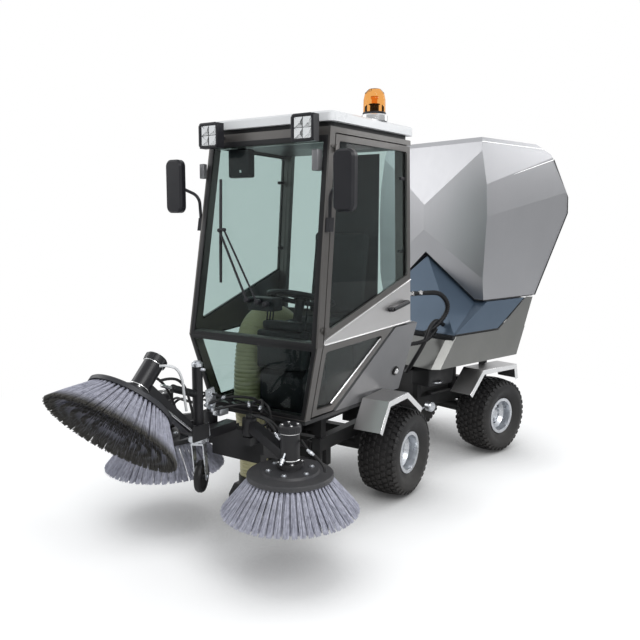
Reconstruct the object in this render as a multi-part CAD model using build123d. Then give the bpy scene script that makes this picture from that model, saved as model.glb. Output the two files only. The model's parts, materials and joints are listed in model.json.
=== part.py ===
"""Compact articulated road sweeper with a raised front brush deck.

Millimetres, +X forward, +Y to the vehicle's left, +Z up. The front module is drawn with the
ground under the front axle as its origin. The rear module is drawn about the articulation pivot
and then turned by the bend in which the machine is parked. At the end everything is moved so
that the origin lies under the middle of the whole machine.
"""

import math
import os

from build123d import *

os.makedirs("parts", exist_ok=True)

# ---- wheels and axles
tyre_radius = 247.0
tyre_width = 245.0
rim_width = 190.0
rim_flange_radius = 118.0
rim_seat_radius = 101.6
rim_well_radius = 84.0
rim_wall = 4.0
wheel_mid_y = 360.0
spindle_radius = 20.0
hub_radius = 46.0
hub_bolt_circle = 130.0
hub_bolts = 5
hub_bolt_hole = 14.0
axle_tube_radius = 38.0
wheel_motor_radius = 66.0
wheel_motor_face_y = 300.0
rear_axle_back = 692.0

# ---- articulation
pivot_x = -495.0
bend = -15.5
pin_radius = 20.0
yoke_low = 265.0
yoke_high = 425.0
yoke_plate = 20.0
yoke_boss = 52.0
weld = 3.0

# ---- fits
seat_gap = 0.3
running_gap = 0.05
panel_gap = 6.0
beyond = 3000.0

# ---- cab: outer corners on the left side (x, y, z)
foot_front = (800.0, 294.0, 585.0)
chin_front = (847.0, 394.0, 952.0)
head_front = (695.0, 362.0, 1954.0)
belt_rear = (20.0, 450.0, 985.0)
head_rear_x = -20.0
head_rear_z = 1975.0
foot_rear_x = 20.0
pillar_width = 40.0
frame_depth = 52.0
floor_low = 565.0
floor_high = foot_front[2] - seat_gap
door_thick = 22.0
glass_thick = 5.0
rail = 30.0
roof_thick = 46.0
roof_gap = 14.0
roof_overhang = 16.0

# ---- suction line
hose_radius = 76.0
hose_ridge = 5.0
hose_wall = 5.0
hose_y = -172.0
hose_low_x = 640.0

# ---- front deck, raised for travel
deck_raise = 285.0
link_length = 420.0
link_rise = 21.5
link_root_x = 470.0
link_root_low = 262.0
link_spacing = 90.0
link_y = 98.0
link_half_height = 19.0
link_thick = 16.0
link_pin_radius = 9.0
lug_gap = 2.0
lug_thick = 10.0
lug_half = 24.0
arm_root_x = 1000.0
arm_root_y = 120.0
arm_reach = 325.0
arm_angles = {"left": 71.0, "right": 92.0}
mast_x = 1180.0
mast_y = -30.0
caster_radius = 75.0
caster_trail = 30.0
caster_turn = 205.0

# ---- brushes
disc_radius = 187.0
disc_thick = 22.0
tip_radius = 303.0
front_tip_radius = 295.0
bristle_drop = 150.0
bristle_band = 34.0
tip_clearance = 5.0
brush_motor_radius = 42.0
brush_motor_height = 130.0

# ---- front boom
boom_pivot = (1235.0, 600.0)
boom_disc = (1560.0, 808.0)
boom_tilt = 44.0

# ---- rear module (x behind the pivot is negative)
body_half = 450.0
cover_low = 840.0
cover_top = 1034.0
gable_top = 1330.0
skirt_low = 645.0
skirt_high = 805.0
sheet = 3.0
hopper_wall = 5.0
hopper_hinge = (-985.0, 1000.0)


def cyl(radius, a, b):
    """A round bar from point a to point b."""
    start = Vector(*a)
    run = Vector(*b) - start
    return Plane(origin=start, z_dir=run) * Cylinder(
        radius, run.length, align=(Align.CENTER, Align.CENTER, Align.MIN)
    )


def bar(width, height, a, b, up=(0, 0, 1)):
    """A rectangular bar from a to b; height runs along up, width across it."""
    start = Vector(*a)
    run = Vector(*b) - start
    across = Vector(*up).cross(run).normalized()
    return Plane(origin=start, x_dir=across, z_dir=run) * Box(
        width, height, run.length, align=(Align.CENTER, Align.CENTER, Align.MIN)
    )


def block(x, y, z):
    """A box given by its low and high value along each axis."""
    size = [hi - lo for lo, hi in (x, y, z)]
    middle = [(hi + lo) / 2 for lo, hi in (x, y, z)]
    return Pos(*middle) * Box(*size)


def prism(axis, outline, low, high):
    """An outline drawn in the two other axes and drawn out along one axis from low to high.

    Along "x" its points are (y, z), along "y" they are (x, z) and along "z" they are (x, y).
    """
    face = make_face(Polyline(*outline, close=True))
    if axis == "x":
        plane = Plane(origin=(low, 0, 0), x_dir=(0, 1, 0), z_dir=(1, 0, 0))
    elif axis == "y":
        plane = Plane(origin=(0, high, 0), x_dir=(1, 0, 0), z_dir=(0, -1, 0))
    else:
        plane = Plane(origin=(0, 0, low))
    return extrude(plane * face, amount=high - low)


def revolved(profile, rounding=0.0):
    """A ring about Z from (radius, height) points, with its corners rounded."""
    face = make_face(Polyline(*profile, close=True))
    if rounding:
        face = fillet(face.vertices(), rounding)
    return revolve(Plane.XZ * face, Axis.Z)


def stack(radius, height, base=0.0):
    """A disc about Z that stands on a height."""
    return Pos(0, 0, base) * Cylinder(
        radius, height, align=(Align.CENTER, Align.CENTER, Align.MIN)
    )


def union(list_of_shapes):
    """The shapes fused in one go."""
    return list_of_shapes[0] + list_of_shapes[1:]


def mirrored(shape):
    """The same shape on the vehicle's other side."""
    return mirror(shape, about=Plane.XZ)


def both_sides(*shapes):
    """Loose copies of the left-hand shapes on both sides, in one node."""
    return Compound(children=[*shapes, *[mirrored(shape) for shape in shapes]])


def flip(point):
    """A point's twin on the other side."""
    return (point[0], -point[1], point[2])


def corner_radii(points, share):
    """The largest radii that leave each run its share, one for every inner corner."""
    radii = []
    for a, b, c in zip(points, points[1:], points[2:]):
        va, vc = Vector(*a) - Vector(*b), Vector(*c) - Vector(*b)
        turn = math.radians(180 - va.get_angle(vc))
        radii.append(share * min(va.length, vc.length) / math.tan(turn / 2))
    return radii


def tube(points, outer, inner=0.0, share=0.45):
    """A pipe along straight runs joined by tangent arcs."""
    radii = corner_radii(points, share)
    path = FilletPolyline(*points, radius=radii)
    start = Plane(origin=path @ 0, z_dir=path % 0)
    body = sweep(start * Circle(outer), path=path)
    if inner:
        body = body - sweep(start * Circle(inner), path=path)
    return body


class Facet:
    """A flat outer skin through three points, on which outlines are drawn in two of the axes."""

    def __init__(self, p, q, r, solve, outward):
        self.solve = solve
        self.origin = Vector(*p)
        normal = (Vector(*q) - self.origin).cross(Vector(*r) - self.origin).normalized()
        if normal.dot(Vector(*outward)) < 0:
            normal = normal * -1
        self.normal = normal
        self.plane = Plane(
            origin=self.origin, x_dir=(Vector(*q) - self.origin), z_dir=normal
        )

    def at(self, a, b):
        """The point of the skin with the two given coordinates, the third one worked out."""
        n, o = self.normal, self.origin
        if self.solve == "y":
            return Vector(a, o.Y - (n.X * (a - o.X) + n.Z * (b - o.Z)) / n.Y, b)
        return Vector(o.X - (n.Y * (a - o.Y) + n.Z * (b - o.Z)) / n.X, a, b)

    def slab(self, outline, near, far, radius=0.0):
        """A plate behind the skin between two depths, with its corners rounded."""
        flat = [self.plane.to_local_coords(self.at(a, b)) for a, b in outline]
        face = make_face(Polyline(*[(p.X, p.Y) for p in flat], close=True))
        if radius:
            face = fillet(face.vertices(), radius)
        return self.plane * Pos(0, 0, -near) * extrude(face, amount=-(far - near))

    def half_space(self, inset=0.0, reach=6000.0):
        """Everything outside the skin, used to cut a body down to it."""
        return (
            self.plane
            * Pos(0, 0, -inset)
            * Box(reach, reach, reach, align=(Align.CENTER, Align.CENTER, Align.MIN))
        )


def shrink(outline, margin):
    """The outline moved inwards by one margin, for a convex outline given anticlockwise or not."""
    area = sum(
        a[0] * b[1] - b[0] * a[1] for a, b in zip(outline, outline[1:] + outline[:1])
    )
    sign = 1.0 if area > 0 else -1.0
    count = len(outline)
    lines = []
    for i in range(count):
        (x0, y0), (x1, y1) = outline[i], outline[(i + 1) % count]
        length = math.hypot(x1 - x0, y1 - y0)
        nx, ny = -(y1 - y0) / length * sign, (x1 - x0) / length * sign
        lines.append((x0 + nx * margin, y0 + ny * margin, (x1 - x0), (y1 - y0)))
    result = []
    for i in range(count):
        x0, y0, dx0, dy0 = lines[i - 1]
        x1, y1, dx1, dy1 = lines[i]
        cross = dx0 * dy1 - dy0 * dx1
        t = ((x1 - x0) * dy1 - (y1 - y0) * dx1) / cross
        result.append((x0 + t * dx0, y0 + t * dy0))
    return result


nodes = {}

# ---------------------------------------------------------------- wheels
tyre_side = (tyre_width - rim_width) / 2


def rim_shape():
    """A drop-centre disc wheel about Z, its outer flange at the top, in one turned profile."""
    w = rim_width
    seat = rim_seat_radius
    lip = 8.0
    bore = spindle_radius + running_gap
    hub_low = wheel_motor_face_y + seat_gap - (wheel_mid_y - w / 2)
    disc_z = 96.0
    inner = seat - rim_wall
    well = rim_well_radius - rim_wall
    profile = [
        (bore, hub_low),
        (hub_radius, hub_low),
        (hub_radius, disc_z - 8),
        (hub_radius + 22, disc_z + 4),
        (well, disc_z - 2),
        (well, 62),
        (inner, 46),
        (inner, 0),
        (rim_flange_radius, 0),
        (rim_flange_radius, lip),
        (seat + 1.4, lip),
        (seat, 44),
        (rim_well_radius, 60),
        (rim_well_radius, 118),
        (seat, 140),
        (seat + 1.4, w - lip),
        (rim_flange_radius, w - lip),
        (rim_flange_radius, w),
        (inner, w),
        (inner, 138),
        (well, 116),
        (well, disc_z + 7),
        (hub_radius + 20, disc_z + 14),
        (hub_radius - 6, disc_z + 5),
        (hub_radius - 12, disc_z + 34),
        (bore, disc_z + 34),
    ]
    holes = [
        place * stack(hub_bolt_hole / 2, 60, disc_z - 20)
        for place in PolarLocations(hub_bolt_circle / 2, hub_bolts, start_angle=18)
    ]
    return revolved(profile, 1.4) - holes


def tyre_shape():
    w = rim_width
    side = tyre_side
    bead = rim_seat_radius + 1.4 + seat_gap
    lip = 8.0 + seat_gap
    crown = tyre_radius
    shoulder = crown - 13
    clear = rim_flange_radius + seat_gap
    toe = 1.6
    inner = Polyline(
        (bead, w - lip - toe), (bead, lip + toe), (bead + toe, lip), (clear, lip), (clear, 2)
    )
    low_wall = ThreePointArc((clear, 2), (clear + 58, -side), (shoulder, -side + 22))
    tread = ThreePointArc((shoulder, -side + 22), (crown, w / 2), (shoulder, w + side - 22))
    high_wall = ThreePointArc((shoulder, w + side - 22), (clear + 58, w + side), (clear, w - 2))
    close = Polyline((clear, w - 2), (clear, w - lip), (bead + toe, w - lip), (bead, w - lip - toe))
    face = make_face([inner, low_wall, tread, high_wall, close])
    return revolve(Plane.XZ * face, Axis.Z)


def wheel_at(shape, x, side):
    """Stands a wheel part, drawn about Z with its outer face up, at an axle end."""
    turned = Rot(-90 * side, 0, 0) * shape
    return Pos(x, side * (wheel_mid_y - rim_width / 2), tyre_radius) * turned


rim = rim_shape()
tyre = tyre_shape()
sides = {"left": 1, "right": -1}


def place_rear(shape):
    return Pos(pivot_x, 0, 0) * Rot(0, 0, bend) * shape


for name, side in sides.items():
    nodes[f"front_{name}_rim"] = wheel_at(rim, 0, side)
    nodes[f"front_{name}_tyre"] = wheel_at(tyre, 0, side)
    nodes[f"rear_{name}_rim"] = place_rear(wheel_at(rim, -rear_axle_back, side))
    nodes[f"rear_{name}_tyre"] = place_rear(wheel_at(tyre, -rear_axle_back, side))


def axle(x):
    """A dead axle: a tube with a wheel motor and a spindle at each end."""
    z = tyre_radius
    face = wheel_motor_face_y
    parts = [cyl(axle_tube_radius, (x, -face + 20, z), (x, face - 20, z))]
    for side in (1, -1):
        parts.append(
            cyl(wheel_motor_radius, (x, side * (face - 95), z), (x, side * face, z))
        )
        parts.append(
            cyl(spindle_radius, (x, side * (face - 5), z), (x, side * (face + 92), z))
        )
    return union(parts)


# ---------------------------------------------------------------- front chassis
beam_y = 150.0
beam_low = 330.0
beam_high = 400.0
beam_half = 25.0
pivot_z = (yoke_low + yoke_high) / 2


def saddles(x):
    """The two blocks that sit between an axle tube and the beams above it."""
    return [
        block(
            (x - 45, x + 45),
            (side * beam_y - 30, side * beam_y + 30),
            (tyre_radius, beam_low - seat_gap),
        )
        for side in (1, -1)
    ]


nodes["front_axle"] = union([axle(0)] + saddles(0))
beam_front = 490.0
link_plate_x = (380.0, 425.0)
frame_half = beam_y + beam_half - weld
root_high = link_root_low + link_spacing
chassis = [
    block((-350, -300), (-frame_half, frame_half), (yoke_low, yoke_high)),
    block((150, 200), (-frame_half, frame_half), (beam_low + weld, beam_high - weld)),
    block(link_plate_x, (-frame_half, frame_half), (link_root_low - 24, root_high + 24)),
]
for side in (1, -1):
    y = side * beam_y
    chassis.append(block((-330, beam_front), (y - beam_half, y + beam_half), (beam_low, beam_high)))
    for x in (-40, 450):
        chassis.append(
            block((x - 22, x + 22), (y - 20, y + 20), (beam_high - weld, floor_low - seat_gap))
        )
for z in (yoke_low, yoke_high - yoke_plate):
    outline = [(-345, -120), (-345, 120), (pivot_x, 44), (pivot_x, -44)]
    chassis.append(prism("z", outline, z, z + yoke_plate))
    chassis.append(Pos(pivot_x, 0, 0) * stack(yoke_boss, yoke_plate, z))
chassis.append(cyl(pin_radius, (pivot_x, 0, yoke_low - 12), (pivot_x, 0, yoke_high + 12)))


def clevis(x, reach, z):
    """Two lugs and a pin on both sides for a pair of link bars, reaching to one side of x."""
    parts = []
    for side in (1, -1):
        middle = side * link_y
        for offset in (-1, 1):
            y = middle + offset * (link_thick / 2 + lug_gap + lug_thick / 2)
            parts.append(
                block(
                    (min(x + reach, x - lug_half * math.copysign(1, reach)),
                     max(x + reach, x - lug_half * math.copysign(1, reach))),
                    (y - lug_thick / 2, y + lug_thick / 2),
                    (z - lug_half, z + lug_half),
                )
            )
        grip = link_thick / 2 + lug_gap + lug_thick
        parts.append(cyl(link_pin_radius, (x, middle - grip, z), (x, middle + grip, z)))
    return parts


for z in (link_root_low, root_high):
    chassis += clevis(link_root_x, link_plate_x[1] - weld - link_root_x, z)
nodes["front_frame"] = union(chassis)

# ---------------------------------------------------------------- cab skins
upper_side = Facet(chin_front, head_front, belt_rear, "y", (0, 1, 0))
lower_side = Facet(foot_front, chin_front, belt_rear, "y", (0, 1, 0))
upper_right = Facet(flip(chin_front), flip(head_front), flip(belt_rear), "y", (0, -1, 0))
lower_right = Facet(flip(foot_front), flip(chin_front), flip(belt_rear), "y", (0, -1, 0))
screen = Facet(chin_front, flip(chin_front), head_front, "x", (1, 0, 0))
lower_front = Facet(foot_front, flip(foot_front), chin_front, "x", (1, 0, 0))
rear_skin = Facet(
    (foot_rear_x, 0, foot_front[2]),
    (foot_rear_x, 100, foot_front[2]),
    (head_rear_x, 0, head_rear_z),
    "x",
    (-1, 0, 0),
)


def front_x(z):
    """Where the front edge of the side skin lies at a height."""
    low, high = (foot_front, chin_front) if z < chin_front[2] else (chin_front, head_front)
    share = (z - low[2]) / (high[2] - low[2])
    return low[0] + share * (high[0] - low[0])


def rear_x(z):
    """Where the rear skin of the cab lies at a height."""
    return rear_skin.at(0, z).X


def half_width(z):
    """Half width of the front skin at a height."""
    low, high = (foot_front, chin_front) if z < chin_front[2] else (chin_front, head_front)
    share = (z - low[2]) / (high[2] - low[2])
    return low[1] + share * (high[1] - low[1])


def belt_z(x):
    """Height of the fold between the lower and the upper side skin."""
    share = (x - belt_rear[0]) / (chin_front[0] - belt_rear[0])
    return belt_rear[2] + share * (chin_front[2] - belt_rear[2])


foot_z, chin_z, head_z = foot_front[2], chin_front[2], head_front[2]
door_top = head_z - 32
frame_inset = door_thick + 4


def cab_body(side, front, rear, z_low, z_high):
    """The faceted block of the cab with its skins moved inwards by a depth for each of them."""
    body = block((-200, 1000), (-600, 600), (z_low, z_high))
    for facet in (upper_side, lower_side, upper_right, lower_right):
        body = body - facet.half_space(side)
    for facet in (screen, lower_front):
        body = body - facet.half_space(front)
    return body - rear_skin.half_space(rear)


def pillar_line(margin, *heights):
    """Points down the cab's front edge, set back by the pillar's width and a margin."""
    return [(front_x(z) - pillar_width - margin, z) for z in heights]


sill_top = foot_z + 34
opening_top = door_top - 14
front_openings = [(chin_z + 26, head_z - 70, 36), (foot_z + 26, chin_z - 18, 32)]
rear_openings = [(belt_rear[2] + 30, head_z - 46, 76), (sill_top, belt_rear[2] - 12, 76)]


def front_outline(low, high, margin):
    """A window outline in the front skins, its ends a margin in from the cab's corners."""
    a, b = half_width(low) - margin, half_width(high) - margin
    return [(-a, low), (a, low), (b, high), (-b, high)]


def rear_outline(low, high, margin):
    """A window outline in the rear skin, its ends a margin in from the side skins."""
    facets = (upper_side, upper_side) if low > belt_rear[2] else (lower_side, lower_side)
    a = facets[0].at(rear_x(low), low).Y - margin
    b = facets[1].at(rear_x(high), high).Y - margin
    return [(-a, low), (a, low), (b, high), (-b, high)]


def cab_frame():
    """Pillars, sills and rails: the cab's shell with its door recesses and windows cut out."""
    shell = cab_body(0, 0, 0, foot_z, head_z) - cab_body(
        frame_depth, pillar_width, pillar_width, foot_z - 30, head_z + 30
    )
    recess_top = door_top + panel_gap
    recess = prism(
        "y",
        pillar_line(0, foot_z - 10, chin_z, recess_top) + [(-150, recess_top), (-150, foot_z - 10)],
        -700,
        700,
    )
    shell = shell - (recess - cab_body(frame_inset, -10, -10, foot_z - 40, head_z + 40))
    doorway = prism(
        "y",
        pillar_line(8, sill_top, chin_z, opening_top)
        + [(rear_x(opening_top) + 42, opening_top), (rear_x(sill_top) + 42, sill_top)],
        -700,
        700,
    )
    cuts = [doorway]
    for window in front_openings:
        cuts.append(prism("x", front_outline(*window), 500, 1000))
    for window in rear_openings:
        cuts.append(prism("x", rear_outline(*window), -200, 200))
    for facet, outline in glass_panes:
        cuts.append(facet.slab(outline, -5, glass_thick + 1))
    return shell - cuts


glass_lap = 14.0
glass_panes = [
    (screen, shrink(front_outline(*front_openings[0]), -glass_lap)),
    (lower_front, shrink(front_outline(*front_openings[1]), -glass_lap)),
    (rear_skin, shrink(rear_outline(*rear_openings[0]), -glass_lap)),
]
frame = cab_frame()
nodes["cab_glass"] = Compound(
    children=[
        facet.slab(shrink(outline, seat_gap), 1 - seat_gap, 1 - seat_gap + glass_thick)
        for facet, outline in glass_panes
    ]
)

# ---------------------------------------------------------------- cab floor and fixed panels
floor_lap = 5.0
floor_edge = [
    (foot_front[0] - floor_lap, foot_front[1] - floor_lap),
    (foot_rear_x + floor_lap, lower_side.at(foot_rear_x, foot_z).Y - floor_lap),
]
floor_outline = floor_edge + [(x, -y) for x, y in reversed(floor_edge)]
hose_hole = Pos(hose_low_x, hose_y, 0) * stack(hose_radius + hose_ridge + 4, 200, floor_low - 50)
nodes["cab_floor"] = prism("z", floor_outline, floor_low, floor_high) - hose_hole


def floor_edge_y(x):
    """Half width of the floor plate at a station."""
    (x0, y0), (x1, y1) = floor_edge
    return y0 + (x - x0) / (x1 - x0) * (y1 - y0)


strip_low_x = 585.0
strip_high_x = 190.0


def side_panel():
    """The fixed lower body side behind the slanted rear edge of the door."""
    z0, z1 = foot_z, belt_z(120) - 8
    return lower_side.slab(
        [
            (strip_low_x - panel_gap - 25, z0),
            (strip_high_x - panel_gap - 25, z1),
            (-70, z1),
            (-70, z0),
        ],
        2,
        frame_inset,
    )


nodes["body_side_panels"] = both_sides(side_panel())
wall_x = rear_x(800.0) + 12
nodes["cab_rear_wall"] = prism(
    "x", shrink(rear_outline(*rear_openings[1]), seat_gap), wall_x, wall_x + 16
)

# ---------------------------------------------------------------- doors
band_front_top = 998.0
band_rear_top = 1216.0


def band_top(x):
    return band_front_top + (748.0 - x) / (748.0 - 27.0) * (band_rear_top - band_front_top)


def door_line(margin, *heights):
    """Points down the door's front edge, set back from the pillar by the panel gap."""
    return pillar_line(panel_gap + margin, *heights)


def door_edge(z):
    """Where the door's front edge lies at a height."""
    return front_x(z) - pillar_width - panel_gap


door_rear = 8.0
door_low = foot_z + 12
door_outline = door_line(0, door_low, chin_z, door_top) + [
    (rear_x(door_top) + door_rear, door_top),
    (rear_x(belt_rear[2]) + door_rear, belt_z(rear_x(belt_rear[2]) + door_rear)),
    (strip_high_x, belt_z(strip_high_x)),
    (strip_low_x, door_low),
]
upper_window = shrink(
    [
        (door_edge(band_front_top), band_top(door_edge(band_front_top))),
        (door_edge(door_top), door_top),
        (rear_x(door_top) + door_rear, door_top),
        (rear_x(band_rear_top) + door_rear, band_top(rear_x(band_rear_top) + door_rear)),
    ],
    rail,
)
lower_window = shrink(
    [
        (door_edge(door_low), door_low),
        (door_edge(chin_z), belt_z(door_edge(chin_z))),
        (strip_high_x, belt_z(strip_high_x)),
        (strip_low_x, door_low),
    ],
    rail,
)
band_outline = [
    (door_edge(chin_z), belt_z(door_edge(chin_z)) + 4),
    (door_edge(band_front_top), band_top(door_edge(band_front_top))),
    (rear_x(band_rear_top) + door_rear, band_top(rear_x(band_rear_top) + door_rear)),
    (rear_x(belt_rear[2]) + door_rear, belt_z(rear_x(belt_rear[2]) + door_rear) + 4),
]
rebate = 8.0
glass_depth = 12.0
band_skin = 4.0
window_corner = 14.0


def left_door():
    """Door frame, its belt band and its two panes, all behind the side skins."""
    frame = prism("y", door_outline, 100, 700) - [
        upper_side.half_space(0),
        lower_side.half_space(0),
    ]
    frame = frame - cab_body(door_thick, -200, -200, foot_z - 60, head_z + 60)
    panes = []
    cuts = [upper_side.slab(band_outline, -5, band_skin)]
    for facet, window in ((upper_side, upper_window), (lower_side, lower_window)):
        seat = shrink(window, -rebate)
        cuts.append(facet.slab(window, -5, door_thick + 5, window_corner))
        cuts.append(facet.slab(seat, glass_depth, door_thick + 5, window_corner))
        panes.append(
            facet.slab(
                shrink(seat, seat_gap),
                glass_depth + seat_gap,
                glass_depth + seat_gap + glass_thick,
                window_corner - seat_gap,
            )
        )
    band = upper_side.slab(shrink(band_outline, seat_gap), 0, band_skin - seat_gap)
    return frame - cuts, band, panes


hinge_heights = (1010.0, 1840.0)
hinge_proud = 9.0
knuckle_radius = 8.0
knuckle_length = 32.0
leaf_width = 28.0
leaf_end = 2.0


def hinge_point(z):
    """A point of the door's hinge line, just proud of the pillar's outer face."""
    point = upper_side.at(front_x(z) - pillar_width - panel_gap / 2, z)
    return point + upper_side.normal * hinge_proud


hinge_dir = (hinge_point(hinge_heights[1]) - hinge_point(hinge_heights[0])).normalized()


def hinge_half(z, toward):
    """One knuckle and its leaf, which lies on the skin to one side of the hinge line."""
    low = hinge_point(z)
    high = low + hinge_dir * (knuckle_length / 2 - seat_gap)
    x0, x1 = (low - upper_side.normal * hinge_proud).X, (high - upper_side.normal * hinge_proud).X
    z0, z1 = low.Z + leaf_end, high.Z - leaf_end
    leaf = [(x0, z0), (x0 + toward * leaf_width, z0), (x1 + toward * leaf_width, z1), (x1, z1)]
    return [cyl(knuckle_radius, low, high), upper_side.slab(leaf, -5, 1)]


handle_at = (230.0, 1075.0)
handle_run = (-150.0, 26.0)
handle_proud = 24.0


def door_handle():
    """A pull bar on two posts that stand on the belt band."""
    x, z = handle_at
    ends = [upper_side.at(x, z), upper_side.at(x + handle_run[0], z + handle_run[1])]
    out = upper_side.normal
    parts = [cyl(6, *[end + out * handle_proud for end in ends])]
    for end in ends:
        parts.append(cyl(7, end - out * (band_skin - 1), end + out * (handle_proud + 3)))
    return parts


door_frame, door_band, door_panes = left_door()
door_leaves = [part for z in hinge_heights for part in hinge_half(z, -1)]
pillar_leaves = [
    part for z in hinge_heights for part in hinge_half(z + hinge_dir.Z * knuckle_length / 2, 1)
]
left_door_frame = union([door_frame] + door_leaves)
left_door_band = union([door_band] + door_handle())
nodes["left_door_frame"] = left_door_frame
nodes["left_door_band"] = left_door_band
nodes["left_door_glass"] = Compound(children=door_panes)
nodes["right_door_frame"] = mirrored(left_door_frame)
nodes["right_door_band"] = mirrored(left_door_band)
nodes["right_door_glass"] = Compound(children=[mirrored(pane) for pane in door_panes])
nodes["cab_frame"] = union([frame] + pillar_leaves + [mirrored(leaf) for leaf in pillar_leaves])

# ---------------------------------------------------------------- roof
roof_low = head_rear_z + roof_gap - 12
roof_front_half = head_front[1] + roof_overhang
roof_rear_half = upper_side.at(head_rear_x, head_rear_z).Y + roof_overhang


def roof_slab(margin, z0, z1):
    outline = [
        (head_front[0] + 10 - margin, roof_front_half - margin),
        (head_rear_x - 14 + margin, roof_rear_half - margin),
        (head_rear_x - 14 + margin, -roof_rear_half + margin),
        (head_front[0] + 10 - margin, -roof_front_half + margin),
    ]
    face = fillet(make_face(Polyline(*outline, close=True)).vertices(), 30)
    return Pos(0, 0, z0) * extrude(face, amount=z1 - z0)


roof_top = roof_low + roof_thick
roof = roof_slab(0, roof_low, roof_top)
roof = chamfer(roof.faces().sort_by(Axis.Z)[-1].edges(), 9)
plinth = roof_slab(26, head_z + seat_gap, roof_low)
nodes["roof"] = roof
nodes["roof_gasket"] = plinth

# ---------------------------------------------------------------- front fenders
fender_y = 500.0
fender_sheet = 4.0


def fender(profile, inner_y, lip=18.0):
    """A folded mudguard: a bent strip with a turned-down outer lip."""
    strip = profile + list(reversed(shrink_open(profile, fender_sheet)))
    edge = profile + list(reversed(shrink_open(profile, lip)))
    return prism("y", strip, inner_y, fender_y) + prism("y", edge, fender_y - fender_sheet, fender_y)


def shrink_open(profile, depth):
    """The open profile moved towards the wheel by a depth."""
    shifted = []
    for i, (x, z) in enumerate(profile):
        normals = []
        for j in (i - 1, i):
            if 0 <= j < len(profile) - 1:
                dx = profile[j + 1][0] - profile[j][0]
                dz = profile[j + 1][1] - profile[j][1]
                length = math.hypot(dx, dz)
                normals.append((dz / length, -dx / length))
        if len(normals) == 2:
            (a, b), (c, d) = normals
            scale = 1.0 / (1.0 + a * c + b * d)
            n = ((a + c) * scale, (b + d) * scale)
        else:
            n = normals[0]
        shifted.append((x - n[0] * depth, z - n[1] * depth))
    return shifted


front_fender_profile = [(439.0, 473.0), (347.0, 617.0), (129.0, 623.0), (-50.0, 502.0)]
rear_fender_profile = [(-278.0, 462.0), (-407.0, 601.0), (-774.0, 595.0), (-795.0, 497.0)]
fender_inner = 346.0


def crown_z(profile, x):
    """Height of a mudguard's flat crown at a station."""
    (x0, z0), (x1, z1) = profile[1], profile[2]
    return z0 + (x - x0) / (x1 - x0) * (z1 - z0)


def fender_stay(x):
    """A cranked strap from the floor's edge out and up to the underside of a front mudguard."""
    inner = floor_edge_y(x - 20) + seat_gap
    low = floor_low + 2
    top = crown_z(front_fender_profile, x) - 2
    foot = block((x - 20, x + 20), (inner, fender_inner + 10), (low, low + 10))
    return [foot, block((x - 20, x + 20), (fender_inner + 2, fender_inner + 10), (low, top))]


front_fender = union([fender(front_fender_profile, fender_inner)] + fender_stay(180) + fender_stay(300))
nodes["front_fenders"] = both_sides(front_fender)

# ---------------------------------------------------------------- cab interior
seat_x = 345.0
seat_y = 72.0
cushion_low = 890.0
cushion_high = 1000.0
cushion_half = (180.0, 178.0)
back_tilt = 8.0
back_thick = 88.0
back_span = (128.0, 600.0)
pedestal_half = (160.0, 150.0)
plate_thick = 8.0
seat_floor = floor_high + seat_gap
cushion = block(
    (seat_x - cushion_half[0], seat_x + cushion_half[0]),
    (seat_y - cushion_half[1], seat_y + cushion_half[1]),
    (cushion_low, cushion_high),
)
back_place = Pos(seat_x - cushion_half[0] - 12, seat_y, cushion_low - 14) * Rot(0, -back_tilt, 0)
back = block((seat_gap, back_thick), (-cushion_half[1] + 5, cushion_half[1] - 5), back_span)
nodes["seat_cushions"] = Compound(
    children=[fillet(cushion.edges(), 30), back_place * fillet(back.edges(), 30)]
)
seat_plate = block(
    (seat_x - cushion_half[0] - 20, seat_x + pedestal_half[0]),
    (seat_y - pedestal_half[1], seat_y + pedestal_half[1]),
    (cushion_low - 22, cushion_low - seat_gap),
)
nodes["seat_base"] = union(
    [
        block(
            (seat_x - pedestal_half[0] + 20, seat_x + pedestal_half[0] - 20),
            (seat_y - pedestal_half[1] + 20, seat_y + pedestal_half[1] - 20),
            (seat_floor, cushion_low - 20),
        ),
        seat_plate,
        back_place * block((-plate_thick, 0), (-60, 60), (-4, 440)),
    ]
)
console = block((572, 690), (seat_y - 130, seat_y + 130), (seat_floor, 800))
console = chamfer(console.edges().filter_by(Axis.Y).group_by(Axis.Z)[-1], 40)
wheel_centre = Vector(516, seat_y, 1134)
wheel_axis = Vector(-100, 0, 340).normalized()
wheel_plane = Plane(origin=wheel_centre, z_dir=wheel_axis)
nodes["steering_column"] = console + cyl(
    24, wheel_centre - wheel_axis * 370, wheel_centre - wheel_axis * (12 + seat_gap)
)
steering = [wheel_plane * Torus(165, 13), wheel_plane * Cylinder(34, 24)]
for angle in (90, 210, 330):
    steering.append(wheel_plane * Rot(0, 0, angle) * Pos(90, 0, 0) * Box(140, 26, 9))
nodes["steering_wheel"] = union(steering)

# ---------------------------------------------------------------- suction line
mouth_x = (420.0, 690.0)
mouth_floor = 15.0
mouth_high = 118.0
mouth_half = 280.0
mouth_wall = 12.0
mouth_slope = 45.0
neck_x = hose_low_x - 60
neck_y = hose_y - 20
collar_top = mouth_high + 50


def mouth_hood(inset):
    """The suction hood's outer form, moved inwards by an inset."""
    body = block(
        (mouth_x[0] + inset, mouth_x[1] - inset),
        (-mouth_half + inset, mouth_half - inset),
        (mouth_floor - inset, mouth_high - inset),
    )
    top_edges = body.edges().filter_by(Axis.Y).group_by(Axis.Z)[-1]
    return chamfer(top_edges, mouth_slope - inset / 2)


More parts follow.
